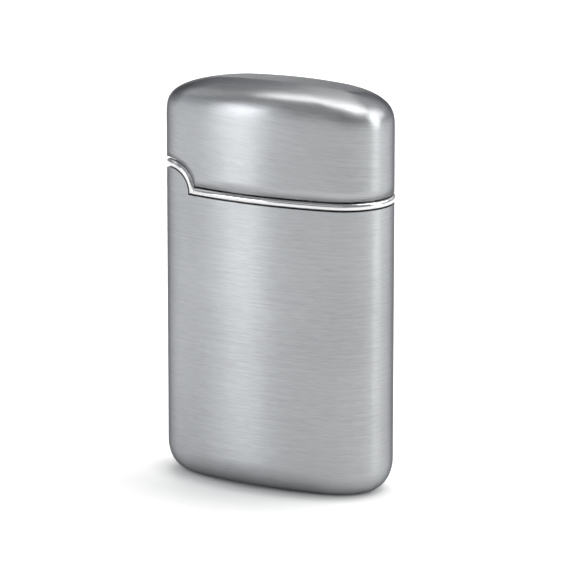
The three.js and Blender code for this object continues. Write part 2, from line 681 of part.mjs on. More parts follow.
function addSpark() {
  const { radius, bore, bottom, top } = INSULATOR;
  const sleeve = bored([[radius, bottom], [radius, top]], [[bore, top], [bore, bottom]], 12);
  addNode('electrode_insulator', sleeve, CERAMIC, [ELECTRODE_X, 0, 0]);

  const electrodeRoute = [
    [ELECTRODE_X, 0, 42.8],
    [ELECTRODE_X, 0, 46],
    [ELECTRODE_X, 0, 50],
    [ELECTRODE_X - 0.5, 0, 51.6],
    [ELECTRODE_X - 2.8, 0, 52.2],
  ];
  addNode('electrode', alongCurve(curveThrough(electrodeRoute), ELECTRODE_WIRE, 16, 6), STEEL);

  const leadRoute = [
    [8.95, 0, 13],
    [8.1, 1.2, 16],
    [8.1, 3.2, 22],
    [8.9, 4.5, 30],
    [8.9, 4.6, 33.8],
    [7.3, 4.2, 36.2],
    [6.5, 3.2, 39.3],
    [ELECTRODE_X + 0.4, 1.6, 41.5],
    [ELECTRODE_X, 0.2, 42.1],
  ];
  addNode('ignition_lead', alongCurve(curveThrough(leadRoute), LEAD_WIRE, 30, 8), BLACK_PLASTIC);
}

// ---------------------------------------------------------------- hinge and lid

function addHingeBlock() {
  const { x, z } = HINGE;
  const { right, halfDepth, bottom, archGap, lowTop } = HINGE_BLOCK;
  const arch = partingRegion(lowTop, HINGE.archRadius - archGap);
  const room = block([-BEYOND, right], [-halfDepth, halfDepth], [bottom, z + 6]);
  const solid = overlap(overlap(lensPlate(DECK.inset, bottom - 3, z + 10), arch), room);

  const across = [-HINGE_SLOT.halfWidth, HINGE_SLOT.halfWidth];
  const slotReach = block([-BEYOND, x], across, [z - HINGE_SLOT.drop, z + 9]);
  const slotRound = rodAlongY(HINGE_SLOT.radius, ...across, x, z, 24);
  const slotTop = block([x, x + HINGE_SLOT.radius], across, [z, z + 9]);
  const followerBore = rod(FOLLOWER.bore, bottom - 3, z, 14).translate(x, 0, 0);
  const pinBore = rodAlongY(PIN.blockBore, -BEYOND, BEYOND, x, z);
  addNode('hinge_block', cut(solid, slotReach, slotRound, slotTop, followerBore, pinBore), ZINC);
}

function addHingeParts() {
  const { x, z } = HINGE;
  addNode('hinge_pin', rodAlongY(HINGE.pinRadius, -PIN.halfLength, PIN.halfLength, x, z, 14), STEEL);

  const follower = turned([
    [0, FOLLOWER.bottom],
    [FOLLOWER.radius, FOLLOWER.bottom],
    [FOLLOWER.radius, FOLLOWER.shoulder],
    [FOLLOWER.tipRadius, FOLLOWER.tip],
    [0, FOLLOWER.top],
  ], 14);
  addNode('cam_follower', follower, STEEL, [x, 0, 0]);
  addNode('cam_spring', spring(CAM_SPRING), STEEL, [x, 0, 0]);
}

function addHingeLeaf() {
  const { x, z } = HINGE;
  const { halfDepth, thickness, bottom, top, reach, setback } = LEAF;
  const across = [-KNUCKLE.halfWidth, KNUCKLE.halfWidth];
  const wide = [-halfDepth, halfDepth];
  const barrel = rodAlongY(KNUCKLE.radius, ...across, x, z, 28);
  const root = block([x - LEAF_ROOT.left, x + LEAF_ROOT.right], across, [z, LEAF_ROOT.top]);
  const leaf = block([x - setback, x - setback + thickness], wide, [bottom, top]);
  const flange = block([x - setback, x + reach], wide, [top - thickness, top]);
  const rivetHoles = [RIVETS.left, RIVETS.right].map((rivetX) =>
    rod(RIVET.hole, top - 2, top + 1, 12).translate(rivetX, 0, 0));
  const pinHole = rodAlongY(PIN.leafBore, -BEYOND, BEYOND, x, z);
  addNode('hinge_leaf', cut(join(barrel, root, leaf, flange), pinHole, ...rivetHoles), STEEL);
}

function addLid() {
  const reach = HINGE.archRadius + BEAD.height + LID_GAP;
  const below = partingRegion(PARTING_Z + BEAD.height + LID_GAP, reach);
  addNode('lid_shell', cut(caseWall, below), STEEL);

  const { bottom, thickness, inset } = LINER;
  const linerTop = bottom + thickness;
  const rivetHoles = [RIVETS.left, RIVETS.right].map((x) =>
    rod(RIVET.hole, bottom - 1, linerTop + 1, 12).translate(x, 0, 0));
  addNode('lid_liner', cut(lensPlate(inset, bottom, linerTop), ...rivetHoles), STEEL);

  const tailBottom = linerTop + RIVET_TAIL.gap;
  const tailTop = tailBottom + RIVET_TAIL.height;
  const rivet = turned([
    [0, RIVET.bottom],
    [RIVET.head, RIVET.edge],
    [RIVET.head, RIVET.headTop],
    [RIVET.shank, RIVET.headTop],
    [RIVET.shank, tailBottom],
    [RIVET.head, tailBottom],
    [RIVET.head, tailTop],
    [0, tailTop + RIVET_TAIL.crown],
  ], 12);
  addNode('lid_rivet_left', rivet, STEEL, [RIVETS.left, 0, 0]);
  addNode('lid_rivet_right', rivet, STEEL, [RIVETS.right, 0, 0]);
}

addCase();
addBase();
addTank();
addFillValve();
addAdjuster();
addFrame();
addDeck();
addValve();
addLever();
addBurner();
addPiezo();
addButton();
addSpark();
addHingeBlock();
addHingeParts();
addHingeLeaf();
addLid();

export default lighter;
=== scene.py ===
"""Visual model of the flip-top pocket lighter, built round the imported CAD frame.

Shapes are worked out in millimetres in the frame's own axes (+Z up, front face towards -Y, hinge
at the -X end) and turned into metres when a mesh is made.
"""
import json
import math
from contextlib import contextmanager

import bmesh
import bpy
from mathutils import Matrix, Vector


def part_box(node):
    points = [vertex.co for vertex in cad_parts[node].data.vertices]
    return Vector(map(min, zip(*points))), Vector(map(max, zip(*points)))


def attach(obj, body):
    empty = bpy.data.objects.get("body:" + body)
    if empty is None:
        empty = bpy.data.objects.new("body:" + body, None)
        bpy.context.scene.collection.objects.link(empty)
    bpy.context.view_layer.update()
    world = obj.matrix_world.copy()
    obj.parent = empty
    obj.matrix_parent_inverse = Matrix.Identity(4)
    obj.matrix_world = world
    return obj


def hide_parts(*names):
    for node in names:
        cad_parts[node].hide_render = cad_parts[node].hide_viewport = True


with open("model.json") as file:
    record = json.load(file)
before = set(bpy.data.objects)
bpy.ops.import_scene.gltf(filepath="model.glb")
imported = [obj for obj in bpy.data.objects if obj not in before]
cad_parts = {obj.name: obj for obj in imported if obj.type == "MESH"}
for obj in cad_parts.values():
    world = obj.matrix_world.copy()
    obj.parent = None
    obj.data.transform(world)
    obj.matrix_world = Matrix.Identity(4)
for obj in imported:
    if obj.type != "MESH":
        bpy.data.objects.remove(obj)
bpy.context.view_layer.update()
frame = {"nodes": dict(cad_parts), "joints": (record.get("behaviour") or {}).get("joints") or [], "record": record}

MM = 0.001


def box_mm(node):
    low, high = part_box(node)
    return low / MM, high / MM


def heights_mm(node):
    low, high = box_mm(node)
    return low.z, high.z


def middle_mm(node):
    low, high = box_mm(node)
    return low.lerp(high, 0.5)


def joint_mm(name):
    joint = next(row for row in frame["joints"] if row["name"] == name)
    return Vector(joint["pos_m"]) / MM


# ---------------- sizes, millimetres

SHELL_HIGH = box_mm("body_shell")[1]
LID_HIGH = box_mm("lid_shell")[1]
HALF_WIDTH = SHELL_HIGH.x
HALF_DEPTH = SHELL_HIGH.y
HEIGHT = LID_HIGH.z
HINGE = joint_mm("lid_hinge")

END_RADIUS = 7.7
WALL = 0.8
FILLET_HEIGHT = 4.6
FILLET_INSET = 3.4
DOME_HEIGHT = 6.1
DOME_POWER_X = 3.2
DOME_POWER_Y = 4.3
PARTING_Z = 44.75
WIRE_RADIUS = 0.62
WIRE_PROUD = 0.3
WIRE_SLACK = 0.04
ARCH_SHIFT = 0.77
ARCH_RADIUS = 3.49
SHELL_GAP = 0.1
LID_GAP = 0.22
SLOT_HALF = 2.2
SLOT_DROP = 2.7
OPENING = (13.6, 4.4, 3.2)
LINE_OVER_WIRE = 2 * WIRE_RADIUS + LID_GAP
COLUMN_STEP = 0.55
FOOT_STEP = 0.002
NEAR_TURN = 0.004
GRAIN_SLANT = 0.09

COARSE_WELD = 0.02
FINE_WELD = 0.002
SKIN_WELD = 0.0015
FLAT_DEGREES = 0.2

END_X = HALF_WIDTH - END_RADIUS
FACE_RADIUS = (END_X**2 + HALF_DEPTH**2 - END_RADIUS**2) / (2 * (HALF_DEPTH - END_RADIUS))
FACE_Y = FACE_RADIUS - HALF_DEPTH
HALF_FACE = math.atan2(END_X, FACE_Y)


# ---------------- the case outline

def outline_point(turn, inset=0.0):
    """Point of the lens outline whose outward normal points at the angle turn, moved inwards."""
    normal = Vector((math.cos(turn), math.sin(turn)))
    if abs(normal.x) < math.sin(HALF_FACE):
        centre = Vector((0.0, -math.copysign(FACE_Y, normal.y)))
        radius = FACE_RADIUS
    else:
        centre = Vector((math.copysign(END_X, normal.x), 0.0))
        radius = END_RADIUS
    return centre + normal * (radius - inset)


def turn_at_x(x, front):
    """The normal's angle where the front or back of the outline passes x."""
    side = -1.0 if front else 1.0
    if abs(x) <= END_X + END_RADIUS * math.sin(HALF_FACE):
        return side * (math.pi / 2 - math.asin(x / FACE_RADIUS))
    lean = math.acos(min(1.0, (abs(x) - END_X) / END_RADIUS))
    return side * (lean if x > 0 else math.pi - lean)


def spaced_turns(step):
    """Angles round the whole outline from the left end, over the front, about step mm apart."""
    front, back = -math.pi / 2, math.pi / 2
    corners = [
        -math.pi, front - HALF_FACE, front + HALF_FACE, back - HALF_FACE, back + HALF_FACE, math.pi,
    ]
    radii = [END_RADIUS, FACE_RADIUS, END_RADIUS, FACE_RADIUS, END_RADIUS]
    turns = []
    for start, stop, radius in zip(corners, corners[1:], radii):
        count = max(4, round((stop - start) * radius / step))
        turns += [start + (stop - start) * number / count for number in range(count)]
    return turns


def arch_height(x, radius, line_z):
    """Height of the parting line at x: level, with a round arch over the hinge pin."""
    nearest = min(max(x, HINGE.x), HINGE.x + ARCH_SHIFT)
    reach = radius**2 - (x - nearest) ** 2
    if reach <= 0:
        return line_z
    return max(line_z, HINGE.z + math.sqrt(reach))


def arch_xs(radius, line_z, steps):
    """Evenly turned x positions down the right side of the arch, from its crown to its foot."""
    drop = min(1.0, max(0.0, line_z - HINGE.z) / radius)
    sweep = math.pi / 2 - math.asin(drop)
    crown = HINGE.x + ARCH_SHIFT
    return [crown + radius * math.sin(sweep * number / steps) for number in range(steps + 1)]


def slot_edge_turn():
    """Where the back edge of the hinge slot stands on the outline."""
    return math.pi - math.asin(SLOT_HALF / END_RADIUS)


def column_turns(radius, line_z):
    """Angles for the columns of a shell, close together where the parting line is steep."""
    steep_xs = arch_xs(radius, line_z, 22)
    steep_xs.append(steep_xs[-1] + FOOT_STEP)
    left = -HALF_WIDTH + 0.02
    steep_xs += [HINGE.x - (HINGE.x - left) * number / 10 for number in range(1, 10)]
    slot_turn = slot_edge_turn()
    fixed = {round(turn_at_x(x, front), 9) for x in steep_xs for front in (True, False)}
    fixed |= {round(slot_turn, 9), round(-slot_turn, 9)}
    ordered = sorted(fixed | {round(turn, 9) for turn in spaced_turns(COLUMN_STEP)})
    kept = []
    for turn in ordered:
        near = kept and turn - kept[-1] < NEAR_TURN
        if near and turn not in fixed:
            continue
        if near and kept[-1] not in fixed:
            kept.pop()
        kept.append(turn)
    return kept


# ---------------- mesh helpers

def grain_at(point, side):
    """Grain coordinates in mm: distance round the case, and height plus distance inwards."""
    from_end = Vector((abs(point.x) - END_X, max(0.0, side * point.y)))
    from_face = Vector((abs(point.x), side * point.y + FACE_Y))
    if from_end.x > from_end.y * math.tan(HALF_FACE):
        lean = math.atan2(from_end.x, from_end.y) - HALF_FACE
        along = FACE_RADIUS * HALF_FACE + END_RADIUS * lean
        inset = END_RADIUS - from_end.length
    else:
        along = FACE_RADIUS * math.atan2(from_face.x, from_face.y)
        inset = FACE_RADIUS - from_face.length
    across = point.z + inset if point.z > HEIGHT / 2 else point.z - inset
    return math.copysign(along, point.x), across


def add_grain(mesh, slant=0.0):
    """Lays the brushing over a mesh that follows the case outline."""
    layer = mesh.uv_layers.new(name="grain")
    for polygon in mesh.polygons:
        side = math.copysign(1.0, polygon.center.y)
        for index in polygon.loop_indices:
            point = mesh.vertices[mesh.loops[index].vertex_index].co / MM
            along, across = grain_at(point, side)
            layer.data[index].uv = (along, across + slant * along)


def make_object(name, vertices, faces, smooth=True):
    """A mesh object from points in millimetres."""
    mesh = bpy.data.meshes.new(name)
    mesh.from_pydata([Vector(point) * MM for point in vertices], [], faces)
    mesh.validate()
    if smooth:
        mesh.shade_smooth()
    piece = bpy.data.objects.new(name, mesh)
    bpy.context.scene.collection.objects.link(piece)
    return piece


@contextmanager
def editing(piece):
    """Opens a piece's mesh for changes and writes it back."""
    mesh = bmesh.new()
    mesh.from_mesh(piece.data)
    yield mesh
    mesh.to_mesh(piece.data)
    mesh.free()


def face_outwards(piece):
    with editing(piece) as mesh:
        bmesh.ops.recalc_face_normals(mesh, faces=mesh.faces)
    return piece


def move(piece, at=(0, 0, 0), turn=0.0, axis="Z"):
    """Turns a piece's mesh about an axis through the origin, then shifts it."""
    piece.data.transform(Matrix.Rotation(turn, 4, axis))
    piece.data.transform(Matrix.Translation(Vector(at) * MM))
    return piece


def settle(piece):
    """Applies the modifiers, so the piece's mesh is what shows."""
    depsgraph = bpy.context.evaluated_depsgraph_get()
    mesh = bpy.data.meshes.new_from_object(piece.evaluated_get(depsgraph))
    piece.modifiers.clear()
    piece.data = mesh
    mesh.name = piece.name
    return piece


def clean(piece, weld=FINE_WELD, flat=0.0):
    """Merges points that coincide, drops faces without area and closes the gaps they leave."""
    with editing(piece) as mesh:
        bmesh.ops.remove_doubles(mesh, verts=mesh.verts, dist=weld * MM)
        bmesh.ops.dissolve_degenerate(mesh, edges=mesh.edges, dist=weld * MM)
        if flat:
            limit = math.radians(flat)
            bmesh.ops.dissolve_limit(mesh, verts=mesh.verts, edges=mesh.edges, angle_limit=limit)
        gaps = [edge for edge in mesh.edges if edge.is_boundary]
        if gaps:
            bmesh.ops.holes_fill(mesh, edges=gaps, sides=0)


def soften(piece, width=0.1, segments=3, angle=35, weld=0.0):
    """Rounds the sharp edges and smooths the shading; weld first removes slivers that would stop it."""
    if weld:
        clean(piece, weld, FLAT_DEGREES)
    bevel = piece.modifiers.new("edge", "BEVEL")
    bevel.width = width * MM
    bevel.segments = segments
    bevel.limit_method = "ANGLE"
    bevel.angle_limit = math.radians(angle)
    bevel.harden_normals = True
    bevel.miter_outer = "MITER_ARC"
    piece.data.shade_smooth()
    settle(piece)
    if weld:
        clean(piece)
    return piece


def combine(piece, others, operation):
    """Applies one boolean operation with each of the other pieces, which are used up."""
    for other in others:
        boolean = piece.modifiers.new("boolean", "BOOLEAN")
        boolean.operation = operation
        boolean.object = other
        boolean.solver = "EXACT"
    settle(piece)
    clean(piece)
    for other in others:
        bpy.data.objects.remove(other)
    return piece


def carve(piece, *cutters):
    return combine(piece, cutters, "DIFFERENCE")


def join_pieces(piece, *others):
    return combine(piece, others, "UNION")


def keep_inside(piece, other):
    return combine(piece, [other], "INTERSECT")


def arc(centre, radius, start, sweep, steps):
    """Points along an arc, with both its ends."""
    points = []
    for number in range(steps + 1):
        turn = start + sweep * number / steps
        points.append((centre[0] + radius * math.cos(turn), centre[1] + radius * math.sin(turn)))
    return points


def prism(name, outline, z0, z1):
    count = len(outline)
    points = [(x, y, z0) for x, y in outline] + [(x, y, z1) for x, y in outline]
    faces = [tuple(reversed(range(count))), tuple(range(count, 2 * count))]
    for number in range(count):
        after = (number + 1) % count
        faces.append((number, after, count + after, count + number))
    return face_outwards(make_object(name, points, faces, smooth=False))


def cuboid(name, low, high):
    outline = [(low[0], low[1]), (high[0], low[1]), (high[0], high[1]), (low[0], high[1])]
    return prism(name, outline, low[2], high[2])


def lathe(name, profile, centre=(0, 0), segments=72):
    """Solid of revolution about Z from (radius, z) steps; a profile off the axis closes on itself."""
    points = []
    rings = []
    for radius, z in profile:
        count = segments if radius > 0 else 1
        rings.append([len(points) + number % count for number in range(segments)])
        for number in range(count):
            turn = 2 * math.pi * number / segments
            points.append((centre[0] + radius * math.cos(turn), centre[1] + radius * math.sin(turn), z))
    if profile[0][0] > 0:
        rings.append(rings[0])
    faces = []
    for low, high in zip(rings, rings[1:]):
        for number in range(segments):
            after = (number + 1) % segments
            corners = dict.fromkeys((low[number], low[after], high[after], high[number]))
            if len(corners) > 2:
                faces.append(tuple(corners))
    return face_outwards(make_object(name, points, faces, smooth=False))


def rod_along_y(name, radius, y0, y1, x, z, segments=72):
    rod = lathe(name, [(0, y0), (radius, y0), (radius, y1), (0, y1)], segments=segments)
    return move(rod, (x, 0, z), -math.pi / 2, "X")


def tube_faces(rings, sides):
    """Faces between rings of points one after another, with both ends closed."""
    last = rings - 1
    faces = [tuple(range(sides)), tuple(range(last * sides, rings * sides))]
    for number in range(last):
        for side in range(sides):
            after = (side + 1) % sides
            low = number * sides
            faces.append((low + side, low + after, low + sides + after, low + sides + side))
    return faces


def lens_points(half_width, half_depth, end_radius, steps=24):
    """The lens outline at any size: two end arcs and two face arcs, each of the given steps."""
    end_x = half_width - end_radius
    face_radius = (end_x**2 + half_depth**2 - end_radius**2) / (2 * (half_depth - end_radius))
    face_y = face_radius - half_depth
    half_face = math.atan2(end_x, face_y)
    half_end = math.pi / 2 - half_face
    end = arc((end_x, 0), end_radius, -half_end, math.pi - 2 * half_face, steps)[:-1]
    face = arc((0, -face_y), face_radius, half_end, 2 * half_face, steps)[:-1]
    return [(sign * x, sign * y) for sign in (1, -1) for x, y in end + face]


def inset_lens(inset):
    return lens_points(HALF_WIDTH - inset, HALF_DEPTH - inset, END_RADIUS - inset)


# ---------------- materials

class Nodes:
    """Short way to write the node tree of a material or a world."""

    def __init__(self, owner, shader="Principled BSDF"):
        owner.use_nodes = True
        self.owner = owner
        self.tree = owner.node_tree
        self.shader = self.tree.nodes[shader]

    def add(self, kind, **inputs):
        node = self.tree.nodes.new(kind)
        for key, value in inputs.items():
            self.put(node, key.replace("_", " "), value)
        return node

    def put(self, node, key, value):
        socket = node.inputs[key]
        if isinstance(value, bpy.types.NodeSocket):
            self.tree.links.new(value, socket)
        else:
            socket.default_value = value

    def finish(self, **inputs):
        """Sets the shader's inputs and hands back the material or world."""
        for key, value in inputs.items():
            self.put(self.shader, key.replace("_", " "), value)
        return self.owner

    def math(self, operation, first, second=0.0, third=None):
        node = self.tree.nodes.new("ShaderNodeMath")
        node.operation = operation
        self.put(node, 0, first)
        self.put(node, 1, second)
        if third is not None:
            self.put(node, 2, third)
        return node.outputs[0]

    def blend(self, first, second, share):
        """The share of the first value plus the rest of the second."""
        return self.math("MULTIPLY_ADD", first, share, self.math("MULTIPLY", second, 1 - share))

    def noise(self, vector, scale, detail=3.0, roughness=0.5):
        node = self.add("ShaderNodeTexNoise", Vector=vector, Scale=scale, Detail=detail, Roughness=roughness)
        return node.outputs["Fac"]

    def stretched(self, vector, scale):
        node = self.add("ShaderNodeMapping", Vector=vector, Scale=scale)
        return node.outputs["Vector"]

    def remap(self, value, low, high, new_low=0.0, new_high=1.0):
        node = self.tree.nodes.new("ShaderNodeMapRange")
        for key, number in zip(("From Min", "From Max", "To Min", "To Max"), (low, high, new_low, new_high)):
            node.inputs[key].default_value = number
        self.put(node, "Value", value)
        return node.outputs["Result"]

    def ramp(self, value, first, second):
        node = self.tree.nodes.new("ShaderNodeMix")
        node.data_type = "RGBA"
        self.put(node, "Factor", value)
        node.inputs[6].default_value = (*first, 1)
        node.inputs[7].default_value = (*second, 1)
        return node.outputs[2]

    def bump(self, height, strength, distance_mm):
        node = self.add("ShaderNodeBump", Height=height, Strength=strength, Distance=distance_mm * MM)
        return node.outputs["Normal"]

    def place(self, kind="Object"):
        return self.tree.nodes.new("ShaderNodeTexCoord").outputs[kind]


def brushed_skin(name, first, second):
    """Satin steel with fine streaks that run round the case."""
    nodes = Nodes(bpy.data.materials.new(name))
    grain = nodes.tree.nodes.new("ShaderNodeUVMap")
    grain.uv_map = "grain"
    uv = grain.outputs["UV"]
    fine = nodes.noise(nodes.stretched(uv, (0.42, 9.5, 1.0)), 1.0, 4.0, 0.66)
    broad = nodes.noise(nodes.stretched(uv, (0.09, 3.4, 1.0)), 1.0, 3.0, 0.55)
    streak = nodes.blend(fine, broad, 0.65)
    cloud = nodes.noise(nodes.place(), 60.0, 2.0)
    tint = nodes.blend(streak, cloud, 0.8)
    tangent = nodes.tree.nodes.new("ShaderNodeTangent")
    tangent.direction_type = "UV_MAP"
    tangent.uv_map = "grain"
    return nodes.finish(
        Base_Color=nodes.ramp(nodes.remap(tint, 0.35, 0.65), first, second),
        Roughness=nodes.remap(streak, 0.35, 0.65, 0.28, 0.36),
        Metallic=1.0,
        Specular_Tint=(0.25, 0.25, 0.26, 1),
        Anisotropic=0.85,
        Anisotropic_Rotation=0.25,
        Tangent=tangent.outputs["Tangent"],
        Normal=nodes.bump(streak, 0.22, 0.035),
    )


def polished(name, first, second, roughness=0.06):
    """Bright plated metal with faint handling marks."""
    nodes = Nodes(bpy.data.materials.new(name))
    place = nodes.place()
    haze = nodes.noise(place, 900.0, 3.0)
    marks = nodes.noise(nodes.stretched(place, (300.0, 2500.0, 2500.0)), 1.0, 4.0, 0.65)
    return nodes.finish(
        Base_Color=nodes.ramp(haze, first, second),
        Metallic=1.0,
        Roughness=nodes.remap(marks, 0.35, 0.75, roughness, roughness + 0.12),
        Normal=nodes.bump(marks, 0.08, 0.01),
    )


def machined(name, first, second, roughness=0.25, grain=2200.0, streaks=(1.0, 1.0, 6.0), depth=0.012):
    """Turned or stamped metal: fine tool marks and small changes of tone."""
    nodes = Nodes(bpy.data.materials.new(name))
    place = nodes.place()
    lines = nodes.noise(nodes.stretched(place, streaks), grain, 4.0, 0.6)
    cloud = nodes.noise(place, 160.0, 2.0)
    tone = nodes.blend(lines, cloud, 0.8)
    return nodes.finish(
        Base_Color=nodes.ramp(nodes.remap(tone, 0.35, 0.65), first, second),
        Metallic=1.0,
        Roughness=nodes.remap(tone, 0.3, 0.7, roughness, roughness + 0.18),
        Normal=nodes.bump(lines, 0.3, depth),
    )


def moulded(name, first, second, roughness, metallic=0.0, grain=3500.0, depth=0.02, see_through=0.0):
    """Plastic, rubber, ceramic or blasted metal: an even fine texture."""
    nodes = Nodes(bpy.data.materials.new(name))
    place = nodes.place()
    pits = nodes.noise(place, grain, 3.0, 0.6)
    cloud = nodes.noise(place, 240.0, 2.0)
    return nodes.finish(
        Base_Color=nodes.ramp(nodes.remap(cloud, 0.35, 0.65), first, second),
        Metallic=metallic,
        Roughness=nodes.remap(pits, 0.3, 0.7, roughness, roughness + 0.12),
        Normal=nodes.bump(pits, 0.35, depth),
        Transmission_Weight=see_through,
    )


MATERIAL_OF_SLOT = {
    "brushed_steel": brushed_skin("brushed_skin", (0.292, 0.300, 0.310), (0.443, 0.453, 0.466)),
    "polished_trim": polished("polished_chrome", (0.60, 0.60, 0.61), (0.70, 0.70, 0.71)),
    "button_chrome": polished("satin_chrome", (0.62, 0.62, 0.64), (0.72, 0.72, 0.73), 0.18),
    "plated_steel": machined("plated_steel", (0.42, 0.42, 0.43), (0.60, 0.60, 0.61)),
    "brass": machined("turned_brass", (0.55, 0.39, 0.15), (0.74, 0.57, 0.28), 0.2),
    "zinc_casting": moulded("cast_zinc", (0.34, 0.34, 0.35), (0.44, 0.44, 0.45), 0.42, 1.0, 2600.0, 0.03),
    "spring_steel": machined("spring_wire", (0.36, 0.36, 0.37), (0.5, 0.5, 0.5), 0.22, 1500.0),
    "black_plastic": moulded("black_plastic", (0.016, 0.016, 0.017), (0.03, 0.03, 0.032), 0.42),
    "tank_plastic": moulded("tank_plastic", (0.62, 0.58, 0.48), (0.72, 0.68, 0.58), 0.25, see_through=0.35),
    "rubber": moulded("seal_rubber", (0.012, 0.012, 0.012), (0.022, 0.022, 0.022), 0.7),
    "ceramic": moulded("white_ceramic", (0.74, 0.71, 0.64), (0.84, 0.82, 0.76), 0.28, depth=0.01),
}


def wear(piece, body, slot, node, material=None):
    """Gives a finished piece its material, picked by slot unless one is given, puts it under its body and hides
    the CAD node it stands for.
    """
    piece.data.materials.clear()
    piece.data.materials.append(material or MATERIAL_OF_SLOT[slot])
    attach(piece, body)
    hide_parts(node)


def turned(name, profile, x, node, slot, body="case", edge=(0.1,), segments=72, weld=0.0):
    """A finished round piece on an upright axis at x; edge is the width, segments and angle to soften."""
    piece = lathe(name, profile, (x, 0), segments)
    soften(piece, *edge, weld=weld)
    wear(piece, body, slot, node)


# ---------------- camera, lights, floor

def direction(azimuth, elevation):
    """Unit vector from the lighter towards a viewpoint; azimuth 0 is the front, in degrees."""
    turn = math.radians(azimuth)
    rise = math.radians(elevation)
    return Vector((
        math.sin(turn) * math.cos(rise),
        -math.cos(turn) * math.cos(rise),
        math.sin(rise),
    ))


def add_camera():
    """Three-quarter view from the front right, slightly above, with a long lens."""
    distance_mm = 651.6
    target = Vector((0, 0, HEIGHT / 2))
    back = direction(azimuth=30.24, elevation=13.5)
    data = bpy.data.cameras.new("camera")
    data.sensor_width = 36.0
    data.lens = 273.4
    data.shift_x = 0.0021
    data.clip_start = 0.05
    data.clip_end = 20.0
    camera = bpy.data.objects.new("camera", data)
    camera.location = (target + back * distance_mm) * MM
    camera.rotation_euler = (-back).to_track_quat("-Z", "Y").to_euler()
    bpy.context.scene.collection.objects.link(camera)
    bpy.context.scene.camera = camera


def add_softbox(name, azimuth, elevation, distance, width, height, power, colour=(1, 1, 1)):
    """Area light that faces the lighter from a given direction; distances in metres."""
    data = bpy.data.lights.new(name, "AREA")
    data.shape = "RECTANGLE"
    data.size = width
    data.size_y = height
    data.energy = power
    data.color = colour
    light = bpy.data.objects.new(name, data)
    back = direction(azimuth, elevation)
    light.location = Vector((0, 0, HEIGHT / 2 * MM)) + back * distance
    light.rotation_euler = (-back).to_track_quat("-Z", "Y").to_euler()
    bpy.context.scene.collection.objects.link(light)


def add_studio():
    floor_nodes = Nodes(bpy.data.materials.new("studio_floor"))
    place = floor_nodes.place()
    speckle = floor_nodes.noise(place, 40.0, 2.0)
    pale = floor_nodes.ramp(speckle, (0.86, 0.86, 0.86), (0.9, 0.9, 0.9))
    # Painted contact shadow: the floor's glow is nothing under the lighter's footprint and rises to full just
    # outside it.
    flattened = floor_nodes.stretched(place, (1 / (HALF_WIDTH * MM), 1 / (HALF_DEPTH * MM), 0.0))
    reach = floor_nodes.add("ShaderNodeVectorMath", Vector=flattened)
    reach.operation = "LENGTH"
    glow_with_painted_contact_shadow = floor_nodes.remap(reach.outputs["Value"], 0.8, 1.3, 0.0, 0.35)
    # Painted light: the floor glows more with distance from the lighter, standing in for lamp light that falls off
    # on the far floor.
    distance = floor_nodes.add("ShaderNodeVectorMath", Vector=place)
    distance.operation = "LENGTH"
    painted_far_floor_light = floor_nodes.remap(distance.outputs["Value"], 0.2, 1.1, 0.0, 0.5)
    # The summed glow makes the floor shine though it is no lamp: painted light, with painted shadow under the
    # lighter.
    painted_floor_glow = floor_nodes.math("ADD", glow_with_painted_contact_shadow, painted_far_floor_light)
    half = 2500
    below = -0.02
    corners = [(-half, -half, below), (half, -half, below), (half, half, below), (-half, half, below)]
    floor = make_object("studio_floor", corners, [(0, 1, 2, 3)], smooth=False)
    floor.data.materials.append(floor_nodes.finish(
        Base_Color=pale,
        Roughness=0.9,
        Emission_Color=(1, 1, 1, 1),
        Emission_Strength=painted_floor_glow,
    ))

    add_softbox("key_softbox", -34, 11, 0.7, 0.24, 0.25, 0.51, (0.96, 0.98, 1.0))
    add_softbox("key_core", -32, 6, 0.72, 0.15, 0.08, 0.24)
    add_softbox("left_softbox", -66, 12, 0.7, 0.38, 0.4, 0.15, (0.86, 0.93, 1.0))
    add_softbox("front_softbox", -5, 44, 0.8, 0.7, 0.3, 0.22)
    add_softbox("top_softbox", 176, 70, 0.8, 0.9, 0.4, 5.0, (1.0, 0.985, 0.965))
    add_softbox("right_softbox", 111, 24, 0.7, 0.24, 0.42, 1.35, (0.97, 1.0, 0.95))
    add_softbox("right_back_softbox", 140, 36, 0.8, 0.4, 0.35, 1.2)
    add_softbox("rear_softbox", 190, 28, 0.8, 0.9, 0.3, 0.6)
    add_softbox("back_softbox", -95, 42, 0.9, 0.7, 0.4, 0.48)

    sky = Nodes(bpy.data.worlds.new("studio"), "Background")
    height = sky.add("ShaderNodeSeparateXYZ", Vector=sky.place("Generated")).outputs["Z"]
    bpy.context.scene.world = sky.finish(
        Color=(0.975, 0.985, 1.0, 1),
        Strength=sky.remap(height, 0.07, 0.14, 1.08, 0.33),
    )
    bpy.context.scene.view_settings.view_transform = "Standard"


add_camera()
add_studio()


# ---------------- case shells and trim wire

def add_skin(name, columns, rows_of):
    """Open sheet from the rows of points at each column, closed round the case."""
    rows = [rows_of(turn) for turn in columns]
    count = len(rows[0])
    faces = []
    for number in range(len(rows)):
        after = (number + 1) % len(rows)
        for row in range(count - 1):
            low = number * count + row
            high = after * count + row
            faces.append((low, high, high + 1, low + 1))
    return make_object(name, [point for column in rows for point in column], faces)


def shell_from_skin(skin, slant=0.0, weld=0.0):
    solid = skin.modifiers.new("wall", "SOLIDIFY")
    solid.thickness = WALL * MM
    solid.offset = -1.0
    solid.use_even_offset = True
    settle(skin)
    if weld:
        clean(skin, weld)
    soften(skin, 0.09, 3, 40)
    if weld:
        clean(skin, weld)
    add_grain(skin.data, slant)


